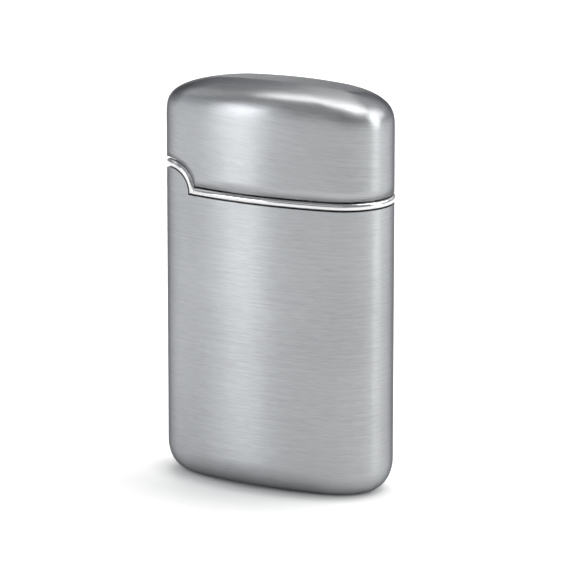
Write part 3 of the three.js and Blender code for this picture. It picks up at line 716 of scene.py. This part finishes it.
def body_column(top_of):
    """Points of one column of the body, from the base opening up to the parting line."""
    def column(turn):
        outer = outline_point(turn)
        rim_x = outer.x * (1 - FILLET_INSET / HALF_WIDTH)
        rim_y = outer.y * (1 - FILLET_INSET / HALF_DEPTH)
        rim = Vector((rim_x, rim_y))
        hole = Vector((outer.x * OPENING[0] / HALF_WIDTH, outer.y * OPENING[1] / HALF_DEPTH))
        points = [(*hole.lerp(rim, part), 0.0) for part in (0.0, 0.5, 0.9)]
        for number in range(17):
            angle = math.pi / 2 * (1 - number / 16)
            shrink = FILLET_INSET * (1 - math.cos(angle))
            z = FILLET_HEIGHT * (1 - math.sin(angle))
            points.append((outer.x * (1 - shrink / HALF_WIDTH), outer.y * (1 - shrink / HALF_DEPTH), z))
        slot_z = HINGE.z - SLOT_DROP
        for number in range(1, 13):
            points.append((outer.x, outer.y, FILLET_HEIGHT + (slot_z - FILLET_HEIGHT) * number / 12))
        top = top_of(outer.x)
        for number in range(1, 6):
            points.append((outer.x, outer.y, slot_z + (top - slot_z) * number / 5))
        return points

    return column


def cut_slot(sheet):
    """Removes the sheet inside the hinge slot at the left end."""
    slot_z = (HINGE.z - SLOT_DROP) * MM
    with editing(sheet) as mesh:
        gone = []
        for face in mesh.faces:
            centre = face.calc_center_median()
            if centre.x < HINGE.x * MM and abs(centre.y) < SLOT_HALF * MM and centre.z > slot_z:
                gone.append(face)
        bmesh.ops.delete(mesh, geom=gone, context="FACES")


def add_body_skin():
    line_z = PARTING_Z - SHELL_GAP
    radius = ARCH_RADIUS - SHELL_GAP
    columns = column_turns(radius, line_z)
    sheet = add_skin("body_skin", columns, body_column(lambda x: arch_height(x, radius, line_z)))
    cut_slot(sheet)
    shell_from_skin(sheet)
    wear(sheet, "case", "brushed_steel", "body_shell")


def add_lid_skin():
    line_z = PARTING_Z + LINE_OVER_WIRE
    radius = ARCH_RADIUS + LINE_OVER_WIRE
    columns = column_turns(radius, line_z)
    dome_z = HEIGHT - DOME_HEIGHT
    rings = 44

    def column(turn):
        outer = outline_point(turn)
        bottom = arch_height(outer.x, radius, line_z)
        points = [(outer.x, outer.y, bottom + (dome_z - bottom) * number / 6) for number in range(7)]
        for number in range(1, rings + 1):
            shrink = math.cos(math.pi / 2 * number / rings)
            if number == rings:
                shrink = 0.01
            part = (1 - shrink**DOME_POWER_X) ** (1 / DOME_POWER_X)
            y_scale = (1 - min(1.0, part) ** DOME_POWER_Y) ** (1 / DOME_POWER_Y)
            points.append((outer.x * shrink, outer.y * y_scale, dome_z + DOME_HEIGHT * part))
        return points

    sheet = add_skin("lid_skin", columns, column)
    with editing(sheet) as mesh:
        crown_z = (HEIGHT - 1) * MM
        crown = [edge for edge in mesh.edges if edge.is_boundary and edge.verts[0].co.z > crown_z]
        bmesh.ops.contextual_create(mesh, geom=crown)
    shell_from_skin(sheet, GRAIN_SLANT, SKIN_WELD)
    wear(sheet, "lid", "brushed_steel", "lid_shell")


def wire_path():
    """Centre line of the trim wire as (turn, z) steps, from one slot edge round to the other."""
    radius = ARCH_RADIUS + WIRE_RADIUS
    line_z = PARTING_Z + WIRE_RADIUS
    slot_x = outline_point(slot_edge_turn()).x
    xs = [slot_x + (HINGE.x - slot_x) * number / 12 for number in range(13)]
    xs += [HINGE.x + ARCH_SHIFT * number / 4 for number in range(1, 4)]
    xs += arch_xs(radius, line_z, 26)
    front = [(turn_at_x(x, True), arch_height(x, radius, line_z)) for x in xs]
    first = front[-1][0]
    run = [(turn, line_z) for turn in spaced_turns(0.5) if first + 0.008 < turn < -first - 0.008]
    back = [(-turn, z) for turn, z in reversed(front)]
    return front + run + back


def add_trim_wire():
    path = wire_path()
    inset = WIRE_RADIUS - WIRE_PROUD
    centres = []
    normals = []
    for turn, z in path:
        spot = outline_point(turn, inset)
        centres.append(Vector((spot.x, spot.y, z)))
        normals.append(Vector((math.cos(turn), math.sin(turn), 0)))
    sides = 28
    points = []
    last = len(path) - 1
    for number, (centre, normal) in enumerate(zip(centres, normals)):
        before = (centre - centres[max(0, number - 1)]).normalized() if number else None
        after = (centres[min(last, number + 1)] - centre).normalized() if number < last else None
        ahead = ((before or after) + (after or before)).normalized()
        corner = 1.0
        if before is not None and after is not None:
            corner = 1 / max(0.6, math.cos(before.angle(after) / 2))
        across = ahead.cross(normal).normalized()
        for side in range(sides):
            angle = 2 * math.pi * side / sides
            offset = normal * math.cos(angle) + across * math.sin(angle) * corner
            points.append(centre + offset * (WIRE_RADIUS - WIRE_SLACK))
    wire = face_outwards(make_object("trim_wire", points, tube_faces(len(path), sides)))
    soften(wire, 0.12, 3, 60)
    wear(wire, "case", "polished_trim", "trim_bead")


add_body_skin()
add_lid_skin()
add_trim_wire()


# ---------------- base closure

PLATE_LOW, PLATE_HIGH = box_mm("base_plate")
FILL_X = middle_mm("fill_stem").x
BURNER_X = middle_mm("jet_nozzle").x
SCREW_X = middle_mm("base_screw_right").x


def slot_cutter(centre, length, width, low, high, turn=0.0):
    """Cutter for a screwdriver slot across a head."""
    slot = cuboid("slot", (-length / 2, -width / 2, low), (length / 2, width / 2, high))
    return move(slot, (*centre, 0), turn)


def threaded(radius, low, high, pitch=0.4, depth=0.09):
    """Profile steps of a thread between two heights."""
    steps = []
    for number in range(int((high - low) / pitch)):
        z = low + number * pitch
        steps += [(radius - depth, z), (radius, z + pitch / 2)]
    return steps + [(radius - depth, high)]


def toothed(radius, depth, count):
    """Round outline with count shallow teeth."""
    points = []
    for number in range(4 * count):
        turn = 2 * math.pi * number / (4 * count)
        reach = radius if number % 4 < 2 else radius - depth
        points.append((reach * math.cos(turn), reach * math.sin(turn)))
    return points


def add_base_cover():
    plug_top = 1.3
    flange_low = 1.1
    clear = 0.3
    under, over = -1, 3
    plug = [value - clear for value in OPENING]
    cover = prism("base_cover", lens_points(*plug, steps=32), PLATE_LOW.z, plug_top)
    flange = prism("flange", lens_points(14.4, 4.9, 3.7, steps=32), flange_low, PLATE_HIGH.z)
    cover = soften(join_pieces(cover, flange), 0.12)
    cutters = []
    for x, radius in ((FILL_X, 2.1), (BURNER_X, 2.3)):
        mouth = radius + 0.2
        profile = [(0, under), (mouth, under), (mouth, 0.2), (radius, 0.4), (radius, over), (0, over)]
        cutters.append(lathe("valve_hole", profile, (x, 0)))
    for x in (-SCREW_X, SCREW_X):
        profile = [
            (0, under), (1.3, under), (1.3, 0.2), (1.2, 0.3),
            (1.2, flange_low), (0.75, flange_low), (0.75, over), (0, over),
        ]
        cutters.append(lathe("screw_hole", profile, (x, 0)))
    for number in range(9):
        end = 3.45 if number % 4 == 0 else 3.2
        tick = cuboid("tick", (2.75, -0.08, 0), (end, 0.08, 0.32))
        cutters.append(move(tick, (BURNER_X, 0, 0), math.radians(-210 + 30 * number)))
    carve(cover, *cutters)
    wear(cover, "case", "plated_steel", "base_plate")


def add_base_screws():
    for name, x in (("base_screw_left", -SCREW_X), ("base_screw_right", SCREW_X)):
        head = [(0, 0.3), (1.0, 0.3), (1.0, 1.0), (0.55, 1.0)]
        profile = head + threaded(0.55, 1.2, 4.6) + [(0.2, 4.7), (0, 4.7)]
        screw = lathe(name + "_fine", profile, (x, 0), 48)
        carve(screw, slot_cutter((x, 0), 4, 0.4, 0, 0.65, 0.6))
        soften(screw, 0.06, 2, 50)
        wear(screw, "case", "plated_steel", name)


def add_adjuster():
    head = prism("adjuster_dial", toothed(1.9, 0.13, 20), 0.5, 2.2)
    shank = lathe("shank", [(0, 2.0), (0.9, 2.0)] + threaded(0.9, 2.4, 7.6) + [(0.5, 8.0), (0, 8.0)])
    move(join_pieces(head, shank), (BURNER_X, 0, 0))
    carve(head, slot_cutter((BURNER_X, 0), 6, 0.6, 0, 1.2))
    soften(head, 0.05, 2, 50)
    wear(head, "flame_adjuster", "brass", "adjuster_screw")
    turned("adjuster_bush_fine", [
        (1.5, 3), (2.3, 3), (2.3, 4), (1.5, 4), (1.5, 8.3), (1.05, 8.3), (1.05, 3),
    ], BURNER_X, "adjuster_bush", "brass")


def add_fill_valve():
    turned("fill_valve_fine", [
        (1.5, 0.4), (1.5, 3), (2.3, 3), (2.3, 4), (1.5, 4), (1.5, 9),
        (0.7, 9), (0.7, 8), (1.15, 8), (1.15, 2), (0.7, 2), (0.7, 0.9), (1.0, 0.4),
    ], FILL_X, "fill_valve_body", "brass")
    turned("fill_stem_fine", [
        (0, 0.7), (0.45, 0.7), (0.45, 2.3), (0.95, 2.3), (0.95, 3), (0.45, 3), (0.45, 10), (0, 10),
    ], FILL_X, "fill_stem", "plated_steel", "fill_stem", segments=48)


def add_seal(name):
    """Rubber ring under a flange in the base."""
    middle = middle_mm(name)
    ring_radius = 1.93
    cord_radius = 0.36
    section = arc((ring_radius, middle.z), cord_radius, 0, 2 * math.pi, 20)[:-1]
    seal = lathe(name + "_fine", section, (middle.x, 0))
    seal.data.shade_smooth()
    wear(seal, "case", "rubber", name)


# ---------------- deck and burner

DECK_LOW, DECK_HIGH = box_mm("deck_plate")
BUTTON_LOW, BUTTON_HIGH = box_mm("ignition_button")
PILLARS = [middle_mm(f"deck_screw_{number}").xy for number in range(1, 5)]
ELECTRODE_X = middle_mm("electrode_insulator").x
BUTTON_INSET = 2.4
CLEAR = 0.3
BEYOND = 20


def lens_slice(name, inset, x0, x1, low, high):
    """The part of an inset case outline between two x, as a plate."""
    plate = prism(name, inset_lens(inset), low, high)
    return keep_inside(plate, cuboid("keep", (x0, -BEYOND, low - 1), (x1, BEYOND, high + 1)))


def round_hole(x, y, radius, low, high):
    return lathe("hole", [(0, low), (radius, low), (radius, high), (0, high)], (x, y), 48)


def add_deck():
    low, high = DECK_LOW.z, DECK_HIGH.z
    deck = lens_slice("deck_fine", 1.1, DECK_LOW.x, 30, low, high)
    hole_left = BUTTON_LOW.x - CLEAR
    button_hole = lens_slice("button_hole", BUTTON_INSET - CLEAR, hole_left, 30, low - 1, high + 1)
    holes = [round_hole(x, y, 0.6, low - 1, high + 1) for x, y in PILLARS]
    holes.append(round_hole(BURNER_X, 0, 2.5, low - 1, high + 1))
    holes.append(round_hole(ELECTRODE_X, 0, 1.1, low - 1, high + 1))
    groove_floor = high - 0.12
    groove = lathe("groove", [
        (4.5, groove_floor), (4.8, groove_floor), (4.8, high + 1), (4.5, high + 1),
    ], (BURNER_X, 0))
    carve(deck, button_hole, *holes, groove)
    soften(deck, 0.1)
    wear(deck, "case", "polished_trim", "deck_plate", MATERIAL_OF_SLOT["button_chrome"])


def add_deck_screws():
    seat = DECK_HIGH.z + 0.1
    slot_floor = seat + 0.22
    shank = [(0, 40.6), (0.3, 40.6)] + threaded(0.45, 40.8, 44.0, 0.32, 0.07)
    head = [
        (0.45, seat), (1.0, seat), (1.0, seat + 0.2), (0.93, seat + 0.36),
        (0.75, seat + 0.49), (0.5, seat + 0.56), (0, seat + 0.6),
    ]
    for number, centre in enumerate(PILLARS, 1):
        screw = lathe(f"deck_screw_{number}_fine", shank + head, centre, 40)
        turns = (0.7 * number, 0.7 * number + math.pi / 2)
        carve(screw, *[slot_cutter(centre, 1.3, 0.26, slot_floor, seat + 1, turn) for turn in turns])
        soften(screw, 0.03, 2, 50)
        wear(screw, "case", "plated_steel", f"deck_screw_{number}")


def window_cutter(half_width, low, high, turn):
    """A rounded upright window right through the flame guard."""
    outline = arc((high - half_width, 0), half_width, -math.pi / 2, math.pi, 12)
    outline += arc((low + half_width, 0), half_width, math.pi / 2, math.pi, 12)
    cutter = move(prism("window", outline, -6, 6), turn=-math.pi / 2, axis="Y")
    return move(cutter, turn=turn)


def add_burner():
    turned("burner_fine", [
        (2.2, 43.7), (2.2, 45.1), (3.2, 45.1), (3.2, 46.1), (2.3, 46.1), (2.3, 47), (2.1, 47.2), (2.1, 47.6),
        (2.3, 47.8), (2.3, 50), (1.8, 50), (1.8, 49), (1.15, 48.6), (1.15, 43.7),
    ], BURNER_X, "burner_body", "brass")
    turned("jet_fine", [
        (1.55, 49.1), (1.55, 50.6), (1.4, 50.75), (1.4, 51.0), (1.1, 51.5), (0.5, 51.5),
        (0.35, 51.35), (0.35, 50), (0.8, 49.1),
    ], BURNER_X, "jet_nozzle", "brass", edge=(0.06,))

    low, high = heights_mm("flame_guard")
    inner, tube, lip = 3.5, 3.9, 4.0
    guard = lathe("guard_fine", [
        (tube, low), (tube, high - 1.1), (lip, high - 0.9), (lip, high), (inner, high), (inner, low),
    ], (0, 0), 96)
    windows = [window_cutter(0.8, 48.5, 53.0, math.radians(turn)) for turn in (0, 60, 120)]
    air_holes = [window_cutter(0.35, 46.7, 47.41, math.radians(turn)) for turn in (30, 90, 150)]
    carve(guard, *windows, *air_holes)
    soften(guard, 0.07, 3, 40, COARSE_WELD)
    move(guard, (BURNER_X, 0, 0))
    wear(guard, "case", "plated_steel", "flame_guard")


def add_button():
    low, high = BUTTON_LOW.z, BUTTON_HIGH.z
    roll_radius = 9.0
    roll_x = BUTTON_LOW.x + 1.4
    rib_count, rib_pitch, rib_radius = 7, 0.95, 0.3
    button = lens_slice("button_fine", BUTTON_INSET, BUTTON_LOW.x, 30, low, high)
    keep = rod_along_y("roll", roll_radius, -BEYOND, BEYOND, roll_x, high - roll_radius, 128)
    join_pieces(keep, cuboid("flat", (roll_x, -BEYOND, low - 1), (30, BEYOND, high + 1)))
    keep_inside(button, keep)
    soften(button, 0.45, 5, 30, COARSE_WELD)
    ribs = []
    for number in range(rib_count):
        rib_x = roll_x + 0.6 + rib_pitch * number
        ribs.append(rod_along_y("rib", rib_radius, -7, 7, rib_x, high + 0.08, 24))
    carve(button, *ribs)
    soften(button, 0.04, 2, 30, COARSE_WELD)
    wear(button, "button", "button_chrome", "ignition_button")


def smooth_path(points, steps=8):
    """Catmull-Rom curve through the points."""
    points = [Vector(point) for point in points]
    ends = [2 * points[0] - points[1]] + points + [2 * points[-1] - points[-2]]
    path = []
    for number in range(1, len(ends) - 2):
        before, start, stop, after = ends[number - 1:number + 3]
        for step in range(steps):
            part = step / steps
            path.append(0.5 * (
                2 * start + (stop - before) * part
                + (2 * before - 5 * start + 4 * stop - after) * part**2
                + (3 * start - before - 3 * stop + after) * part**3
            ))
    return path + [points[-1]]


def wire_along(name, points, radius, sides=20):
    """Round wire on a smooth curve through the points, with closed ends."""
    path = smooth_path(points)
    rings = []
    across = Vector((0, 1, 0))
    last = len(path) - 1
    for number, centre in enumerate(path):
        ahead = (path[min(last, number + 1)] - path[max(0, number - 1)]).normalized()
        across = (across - ahead * across.dot(ahead)).normalized()
        up = ahead.cross(across)
        for side in range(sides):
            turn = 2 * math.pi * side / sides
            rings.append(centre + (across * math.cos(turn) + up * math.sin(turn)) * radius)
    wire = face_outwards(make_object(name, rings, tube_faces(len(path), sides)))
    return soften(wire, radius * 0.4, 4, 60)


def add_spark_path():
    low, high = heights_mm("electrode_insulator")
    bore, sleeve, waist = 0.4, 0.9, 0.74
    profile = [(sleeve, low), (sleeve, 45.4)]
    for number in range(3):
        z = 45.6 + 0.8 * number
        profile += [(waist, z), (waist, z + 0.3), (sleeve, z + 0.5)]
    profile += [(sleeve, high), (bore, high), (bore, low)]
    turned("insulator_fine", profile, ELECTRODE_X, "electrode_insulator", "ceramic", "case", (0.06, 2), 48)
    rod = [
        (ELECTRODE_X, 0, 42.8), (ELECTRODE_X, 0, 46), (ELECTRODE_X, 0, 50), (4.7, 0, 51.6), (2.4, 0, 52.2),
    ]
    wear(wire_along("electrode_fine", rod, 0.28), "case", "plated_steel", "electrode")
    lead = [
        (8.95, 0, 13), (8.1, 1.2, 16), (8.1, 3.2, 22), (8.9, 4.5, 30), (8.9, 4.6, 33.8),
        (7.3, 4.2, 36.2), (6.5, 3.2, 39.3), (5.6, 1.6, 41.5), (5.2, 0.2, 42.1),
    ]
    wear(wire_along("lead_fine", lead, 0.35), "case", "black_plastic", "ignition_lead")


# ---------------- hinge

BLOCK_LOW, BLOCK_HIGH = box_mm("hinge_block")
LEAF_HIGH = box_mm("hinge_leaf")[1]
RIVET_NAMES = ("lid_rivet_left", "lid_rivet_right")
RIVET_XS = [middle_mm(name).x for name in RIVET_NAMES]
KNUCKLE_RADIUS = 3.4
KNUCKLE_HALF = 1.9


def side_prism(name, outline, y0, y1):
    """Prism from (x, z) points, through the depth."""
    return move(prism(name, outline, -y1, -y0), turn=math.pi / 2, axis="X")


def rivet_holes():
    return [round_hole(x, 0, 0.8, 55, 60) for x in RIVET_XS]


def add_hinge_block():
    radius = 3.3
    room_radius = 3.7
    low_top = 44.6
    right = HINGE.x + ARCH_SHIFT
    outline = [
        (-19, BLOCK_LOW.z), (BLOCK_HIGH.x, BLOCK_LOW.z),
        (BLOCK_HIGH.x, low_top), (right + radius, low_top),
    ]
    outline += arc((right, HINGE.z), radius, 0.0, math.pi / 2, 16)
    outline += arc((HINGE.x, HINGE.z), radius, math.pi / 2, math.pi / 2, 16)
    block = side_prism("hinge_block_fine", outline, -BEYOND, BEYOND)
    keep_inside(block, prism("inside", inset_lens(1.1), 33, 49))
    carve(
        block,
        cuboid("reach", (-30, -SLOT_HALF, HINGE.z - SLOT_DROP), (HINGE.x, SLOT_HALF, 60)),
        rod_along_y("round", room_radius, -SLOT_HALF, SLOT_HALF, HINGE.x, HINGE.z, 96),
        cuboid("top", (HINGE.x - 0.01, -SLOT_HALF, HINGE.z), (HINGE.x + room_radius, SLOT_HALF, 60)),
    )
    carve(block, round_hole(HINGE.x, 0, 1.3, 30, HINGE.z))
    carve(block, rod_along_y("pin_bore", 0.85, -BEYOND, BEYOND, HINGE.x, HINGE.z, 48))
    soften(block, 0.14, weld=COARSE_WELD)
    wear(block, "case", "zinc_casting", "hinge_block")


def add_hinge_pin():
    pin = rod_along_y("hinge_pin_fine", 0.75, -4.4, 4.4, HINGE.x, HINGE.z, 48)
    soften(pin, 0.22, 5)
    wear(pin, "case", "plated_steel", "hinge_pin")


def add_cam_follower():
    low, high = heights_mm("cam_follower")
    turned("follower_fine", [
        (0, low), (1, low), (1, 37.4), (0.9, 37.5), (0.9, 37.9), (1, 38),
        (1, 40.7), (0.85, 41.0), (0.5, 41.22), (0, high),
    ], HINGE.x, "cam_follower", "plated_steel", "cam_follower", (0.06,), 48)


def add_hinge_leaf():
    """Knuckle round the pin, with a root above it and a bracket over the root."""
    x, z = HINGE.x, HINGE.z
    root_left, root_right, root_top = 1.7, 1.0, 50.6
    fillet = 0.3
    fillet_turn = 0.08
    start = math.pi - math.acos(root_left / KNUCKLE_RADIUS) + fillet_turn
    stop = 2 * math.pi + math.acos(root_right / KNUCKLE_RADIUS) - fillet_turn
    outline = arc((x, z), KNUCKLE_RADIUS, start, stop - start, 96)
    outline += [
        (x + root_right, outline[-1][1] + fillet), (x + root_right, root_top),
        (x - root_left, root_top), (x - root_left, outline[0][1] + fillet),
    ]
    leaf = side_prism("hinge_leaf_fine", outline, -KNUCKLE_HALF, KNUCKLE_HALF)

    top, right, corner, sheet = LEAF_HIGH.z, LEAF_HIGH.x, 1.5, 0.8
    side_view = [
        (x - 1.2, 50.2), (x - 0.4, 50.2), (x - 0.4, top - sheet),
        (right + 1, top - sheet), (right + 1, top), (x - 1.2, top),
    ]
    plan_view = [(x - 2, -3)]
    plan_view += arc((right - corner, -corner), corner, -math.pi / 2, math.pi / 2, 8)
    plan_view += arc((right - corner, corner), corner, 0.0, math.pi / 2, 8)
    plan_view.append((x - 2, 3))
    bracket = side_prism("bracket", side_view, -4, 4)
    keep_inside(bracket, prism("plan", plan_view, 49, 60))
    join_pieces(leaf, bracket)
    carve(leaf, rod_along_y("pin_hole", 0.95, -5, 5, x, z, 48), *rivet_holes())
    soften(leaf, 0.12, weld=COARSE_WELD)
    wear(leaf, "lid", "plated_steel", "hinge_leaf")


def add_lid_liner():
    low, high = heights_mm("lid_liner")
    liner = prism("liner_fine", inset_lens(1.6), low, high)
    soften(liner, 0.2)
    field = lens_slice("field", 3.4, -8.2, 30, low - 1, low + 0.22)
    carve(liner, field, *rivet_holes())
    wear(liner, "lid", "plated_steel", "lid_liner")


def add_lid_rivets():
    for name, x in zip(RIVET_NAMES, RIVET_XS):
        turned(name + "_fine", [
            (0, 55.4), (0.45, 55.45), (0.85, 55.62), (1.1, 55.9), (1.1, 56.1), (0.6, 56.1),
            (0.6, 58.3), (1.1, 58.3), (1.1, 58.55), (0.8, 58.8), (0, 58.9),
        ], x, name, "plated_steel", "lid", (0.05, 2, 50), 48)


# ---------------- mechanism under the deck

LEVER = joint_mm("lever_pivot")
TANK_INSET = 1.2
TANK_RIGHT = 5.6


def add_tank():
    wall = 1.0
    low, high = 5, 30
    floor = 6.2
    tank = lens_slice("tank_fine", TANK_INSET, -30, TANK_RIGHT, low, high)
    soften(tank, 0.5, 4)
    inside = lens_slice("tank_room", TANK_INSET + wall, -30, TANK_RIGHT - wall, floor, high + 1)
    soften(inside, 0.4, 4)
    carve(tank, inside)
    boss = lathe("boss", [(1.3, 2.3), (1.3, 5.6), (0.75, 5.6), (0.75, 2.3)], (-SCREW_X, 0), 48)
    join_pieces(tank, boss)
    carve(tank, *[round_hole(x, 0, 1.75, 4, 7) for x in (FILL_X, BURNER_X)])
    soften(tank, 0.08, 2, 50)
    wear(tank, "case", "tank_plastic", "fuel_tank")


def add_tank_cover():
    low, high = heights_mm("tank_cover")
    rim = 1.6
    cover = lens_slice("tank_cover_fine", TANK_INSET, -30, TANK_RIGHT, low, high)
    step = lens_slice("step", TANK_INSET + rim, -30, TANK_RIGHT - rim, high - 0.3, high + 0.7)
    carve(cover, step, round_hole(BURNER_X, 0, 1.4, 29, 33))
    soften(cover, 0.12)
    wear(cover, "case", "tank_plastic", "tank_cover")


def add_gas_valve():
    turned("riser_fine", [
        (1.05, 8.8), (1.05, 12), (0.95, 12.2), (0.95, 28),
        (1.05, 28.2), (1.05, 31.6), (0.55, 31.6), (0.55, 8.8),
    ], BURNER_X, "riser_tube", "brass", edge=(0.06,), segments=48)
    turned("valve_body_fine", [
        (2.5, 31.8), (2.5, 35), (1.9, 35), (1.9, 35.8), (1.75, 35.95),
        (1.75, 36.4), (1.9, 36.55), (1.9, 37.4), (1.1, 37.4), (1.1, 31.8),
    ], BURNER_X, "valve_body", "brass", edge=(0.08,))
    turned("valve_stem_fine", [
        (0, 33), (0.6, 33), (0.85, 33.3), (0.85, 34.2), (0.7, 34.35), (0.7, 34.9), (0.85, 35.05),
        (0.85, 39.9), (1.7, 39.9), (1.7, 40.5), (0.85, 40.5), (0.85, 46.5), (0, 46.5),
    ], BURNER_X, "valve_stem", "brass", "valve_stem", (0.07,), 48)


def add_gas_lever():
    half = 1.6
    thick = 0.9
    button_x, button_z = 9, 40.6
    slope = math.atan2(button_z - LEVER.z, button_x - LEVER.x)
    arm = cuboid("gas_lever_fine", (0, -half, -thick), (7.5, half, 0))
    move(arm, (LEVER.x, 0, LEVER.z + thick / 2), -slope, "Y")
    join_pieces(
        arm,
        cuboid("left_arm", (-1, -half, LEVER.z - thick / 2), (LEVER.x, half, LEVER.z + thick / 2)),
        cuboid("pads", (-0.5, -half, LEVER.z), (0.6, half, 39.75)),
        rod_along_y("hub", 1.15, -half, half, LEVER.x, LEVER.z),
    )
    carve(
        arm,
        cuboid("fork", (-2, -1.15, 36), (1.15, 1.15, 41)),
        rod_along_y("bore", 0.7, -5, 5, LEVER.x, LEVER.z, 48),
        cuboid("window", (5, -0.7, 36), (7.4, 0.7, 44)),
    )
    soften(arm, 0.1, weld=COARSE_WELD)
    wear(arm, "gas_lever", "plated_steel", "gas_lever")

    axle = rod_along_y("lever_axle_fine", 0.5, -3.3, 3.3, LEVER.x, LEVER.z, 48)
    soften(axle, 0.15, 4)
    wear(axle, "case", "plated_steel", "lever_axle")


def add_chassis():
    web_left, foot_low, shelf_low = 6.2, 3, 32
    chassis = lens_slice("frame_fine", 1.3, -30, 8.4, shelf_low, 33.2)
    parts = [
        cuboid("web", (web_left, -5, foot_low), (web_left + 0.8, 5, shelf_low + 0.5)),
        cuboid("foot", (web_left, -3.6, foot_low), (14.5, 3.6, 4.2)),
        cuboid("cheek", (0.9, -3.0, 33), (3.3, -2.2, 40)),
        cuboid("cheek", (0.9, 2.2, 33), (3.3, 3.0, 40)),
    ]
    parts += [round_hole(x, y, 1.1, 33, 43.8) for x, y in PILLARS]
    join_pieces(chassis, *parts)
    cutters = [
        round_hole(BURNER_X, 0, 2.8, 30, 36),
        round_hole(SCREW_X, 0, 0.75, 0, 6),
        rod_along_y("axle_bore", 0.65, -BEYOND, BEYOND, LEVER.x, LEVER.z, 48),
    ]
    cutters += [round_hole(x, y, 0.6, 40, 50) for x, y in PILLARS]
    cutters += [cuboid("window", (5, -2.6, z), (8, 2.6, z + 5)) for z in (9, 16, 23)]
    carve(chassis, *cutters)
    soften(chassis, 0.12, weld=COARSE_WELD)
    wear(chassis, "case", "zinc_casting", "mechanism_frame")


def add_piezo_case():
    low, high = box_mm("piezo_case")
    middle = (low.x + high.x) / 2
    wall = 0.6
    case = cuboid("piezo_case_fine", low, high)
    soften(case, 0.45, 4)
    room_low = (low.x + wall, low.y + wall, low.z + 2)
    room_high = (high.x - wall, high.y - wall, high.z + 1)
    carve(case, cuboid("room", room_low, room_high))
    slots = []
    for y in (-high.y, high.y):
        slots.append(cuboid("slot", (middle - 0.6, y - 0.3, 22), (middle + 0.6, y + 0.3, 31)))
        for z in (11, 13, 15, 17):
            slots.append(cuboid("groove", (low.x - 1, y - 0.15, z), (high.x + 1, y + 0.15, z + 0.5)))
    carve(case, *slots)
    soften(case, 0.07, 2, 50)
    wear(case, "case", "black_plastic", "piezo_case")

    turned("crystal_fine", [
        (0, 10.1), (2.0, 10.1), (2.0, 13.3), (1.9, 13.35), (1.9, 13.65), (2.0, 13.7), (2.0, 17), (0, 17),
    ], middle, "piezo_crystal", "ceramic", edge=(0.12,), segments=64, weld=COARSE_WELD)
    turned("hammer_fine", [
        (0, 17.3), (1.6, 17.3), (1.9, 17.7), (1.9, 20), (0.9, 20), (0.9, 23), (0, 23),
    ], middle, "piezo_hammer", "plated_steel", edge=(0.15,), segments=64)


def add_piezo_plunger():
    low, high = box_mm("piezo_plunger")
    middle = (low.x + high.x) / 2
    plunger = cuboid("plunger_fine", low, high)
    soften(plunger, 0.4, 4)
    grooves = []
    for y in (-high.y, high.y):
        groove_low = (middle - 0.5, y - 0.35, low.z + 1)
        groove_high = (middle + 0.5, y + 0.35, high.z - 1.5)
        grooves.append(cuboid("groove", groove_low, groove_high))
    carve(plunger, *grooves)
    soften(plunger, 0.07, 2, 50)
    wear(plunger, "button", "black_plastic", "piezo_plunger")


add_base_cover()
add_base_screws()
add_adjuster()
add_fill_valve()
add_seal("fill_valve_seal")
add_seal("adjuster_seal")
add_deck()
add_deck_screws()
add_burner()
add_button()
add_spark_path()
add_hinge_block()
add_hinge_pin()
add_cam_follower()
add_hinge_leaf()
add_lid_liner()
add_lid_rivets()
add_tank()
add_tank_cover()
add_gas_valve()
add_gas_lever()
add_chassis()
add_piezo_case()
add_piezo_plunger()


# ---------------- carried CAD nodes

def dress_cad_nodes():
    slot_of = {row["node"]: row["material_slot"] for row in frame["record"]["subparts"]}
    for name, node in frame["nodes"].items():
        node.data.materials.clear()
        node.data.materials.append(MATERIAL_OF_SLOT[slot_of[name]])


dress_cad_nodes()
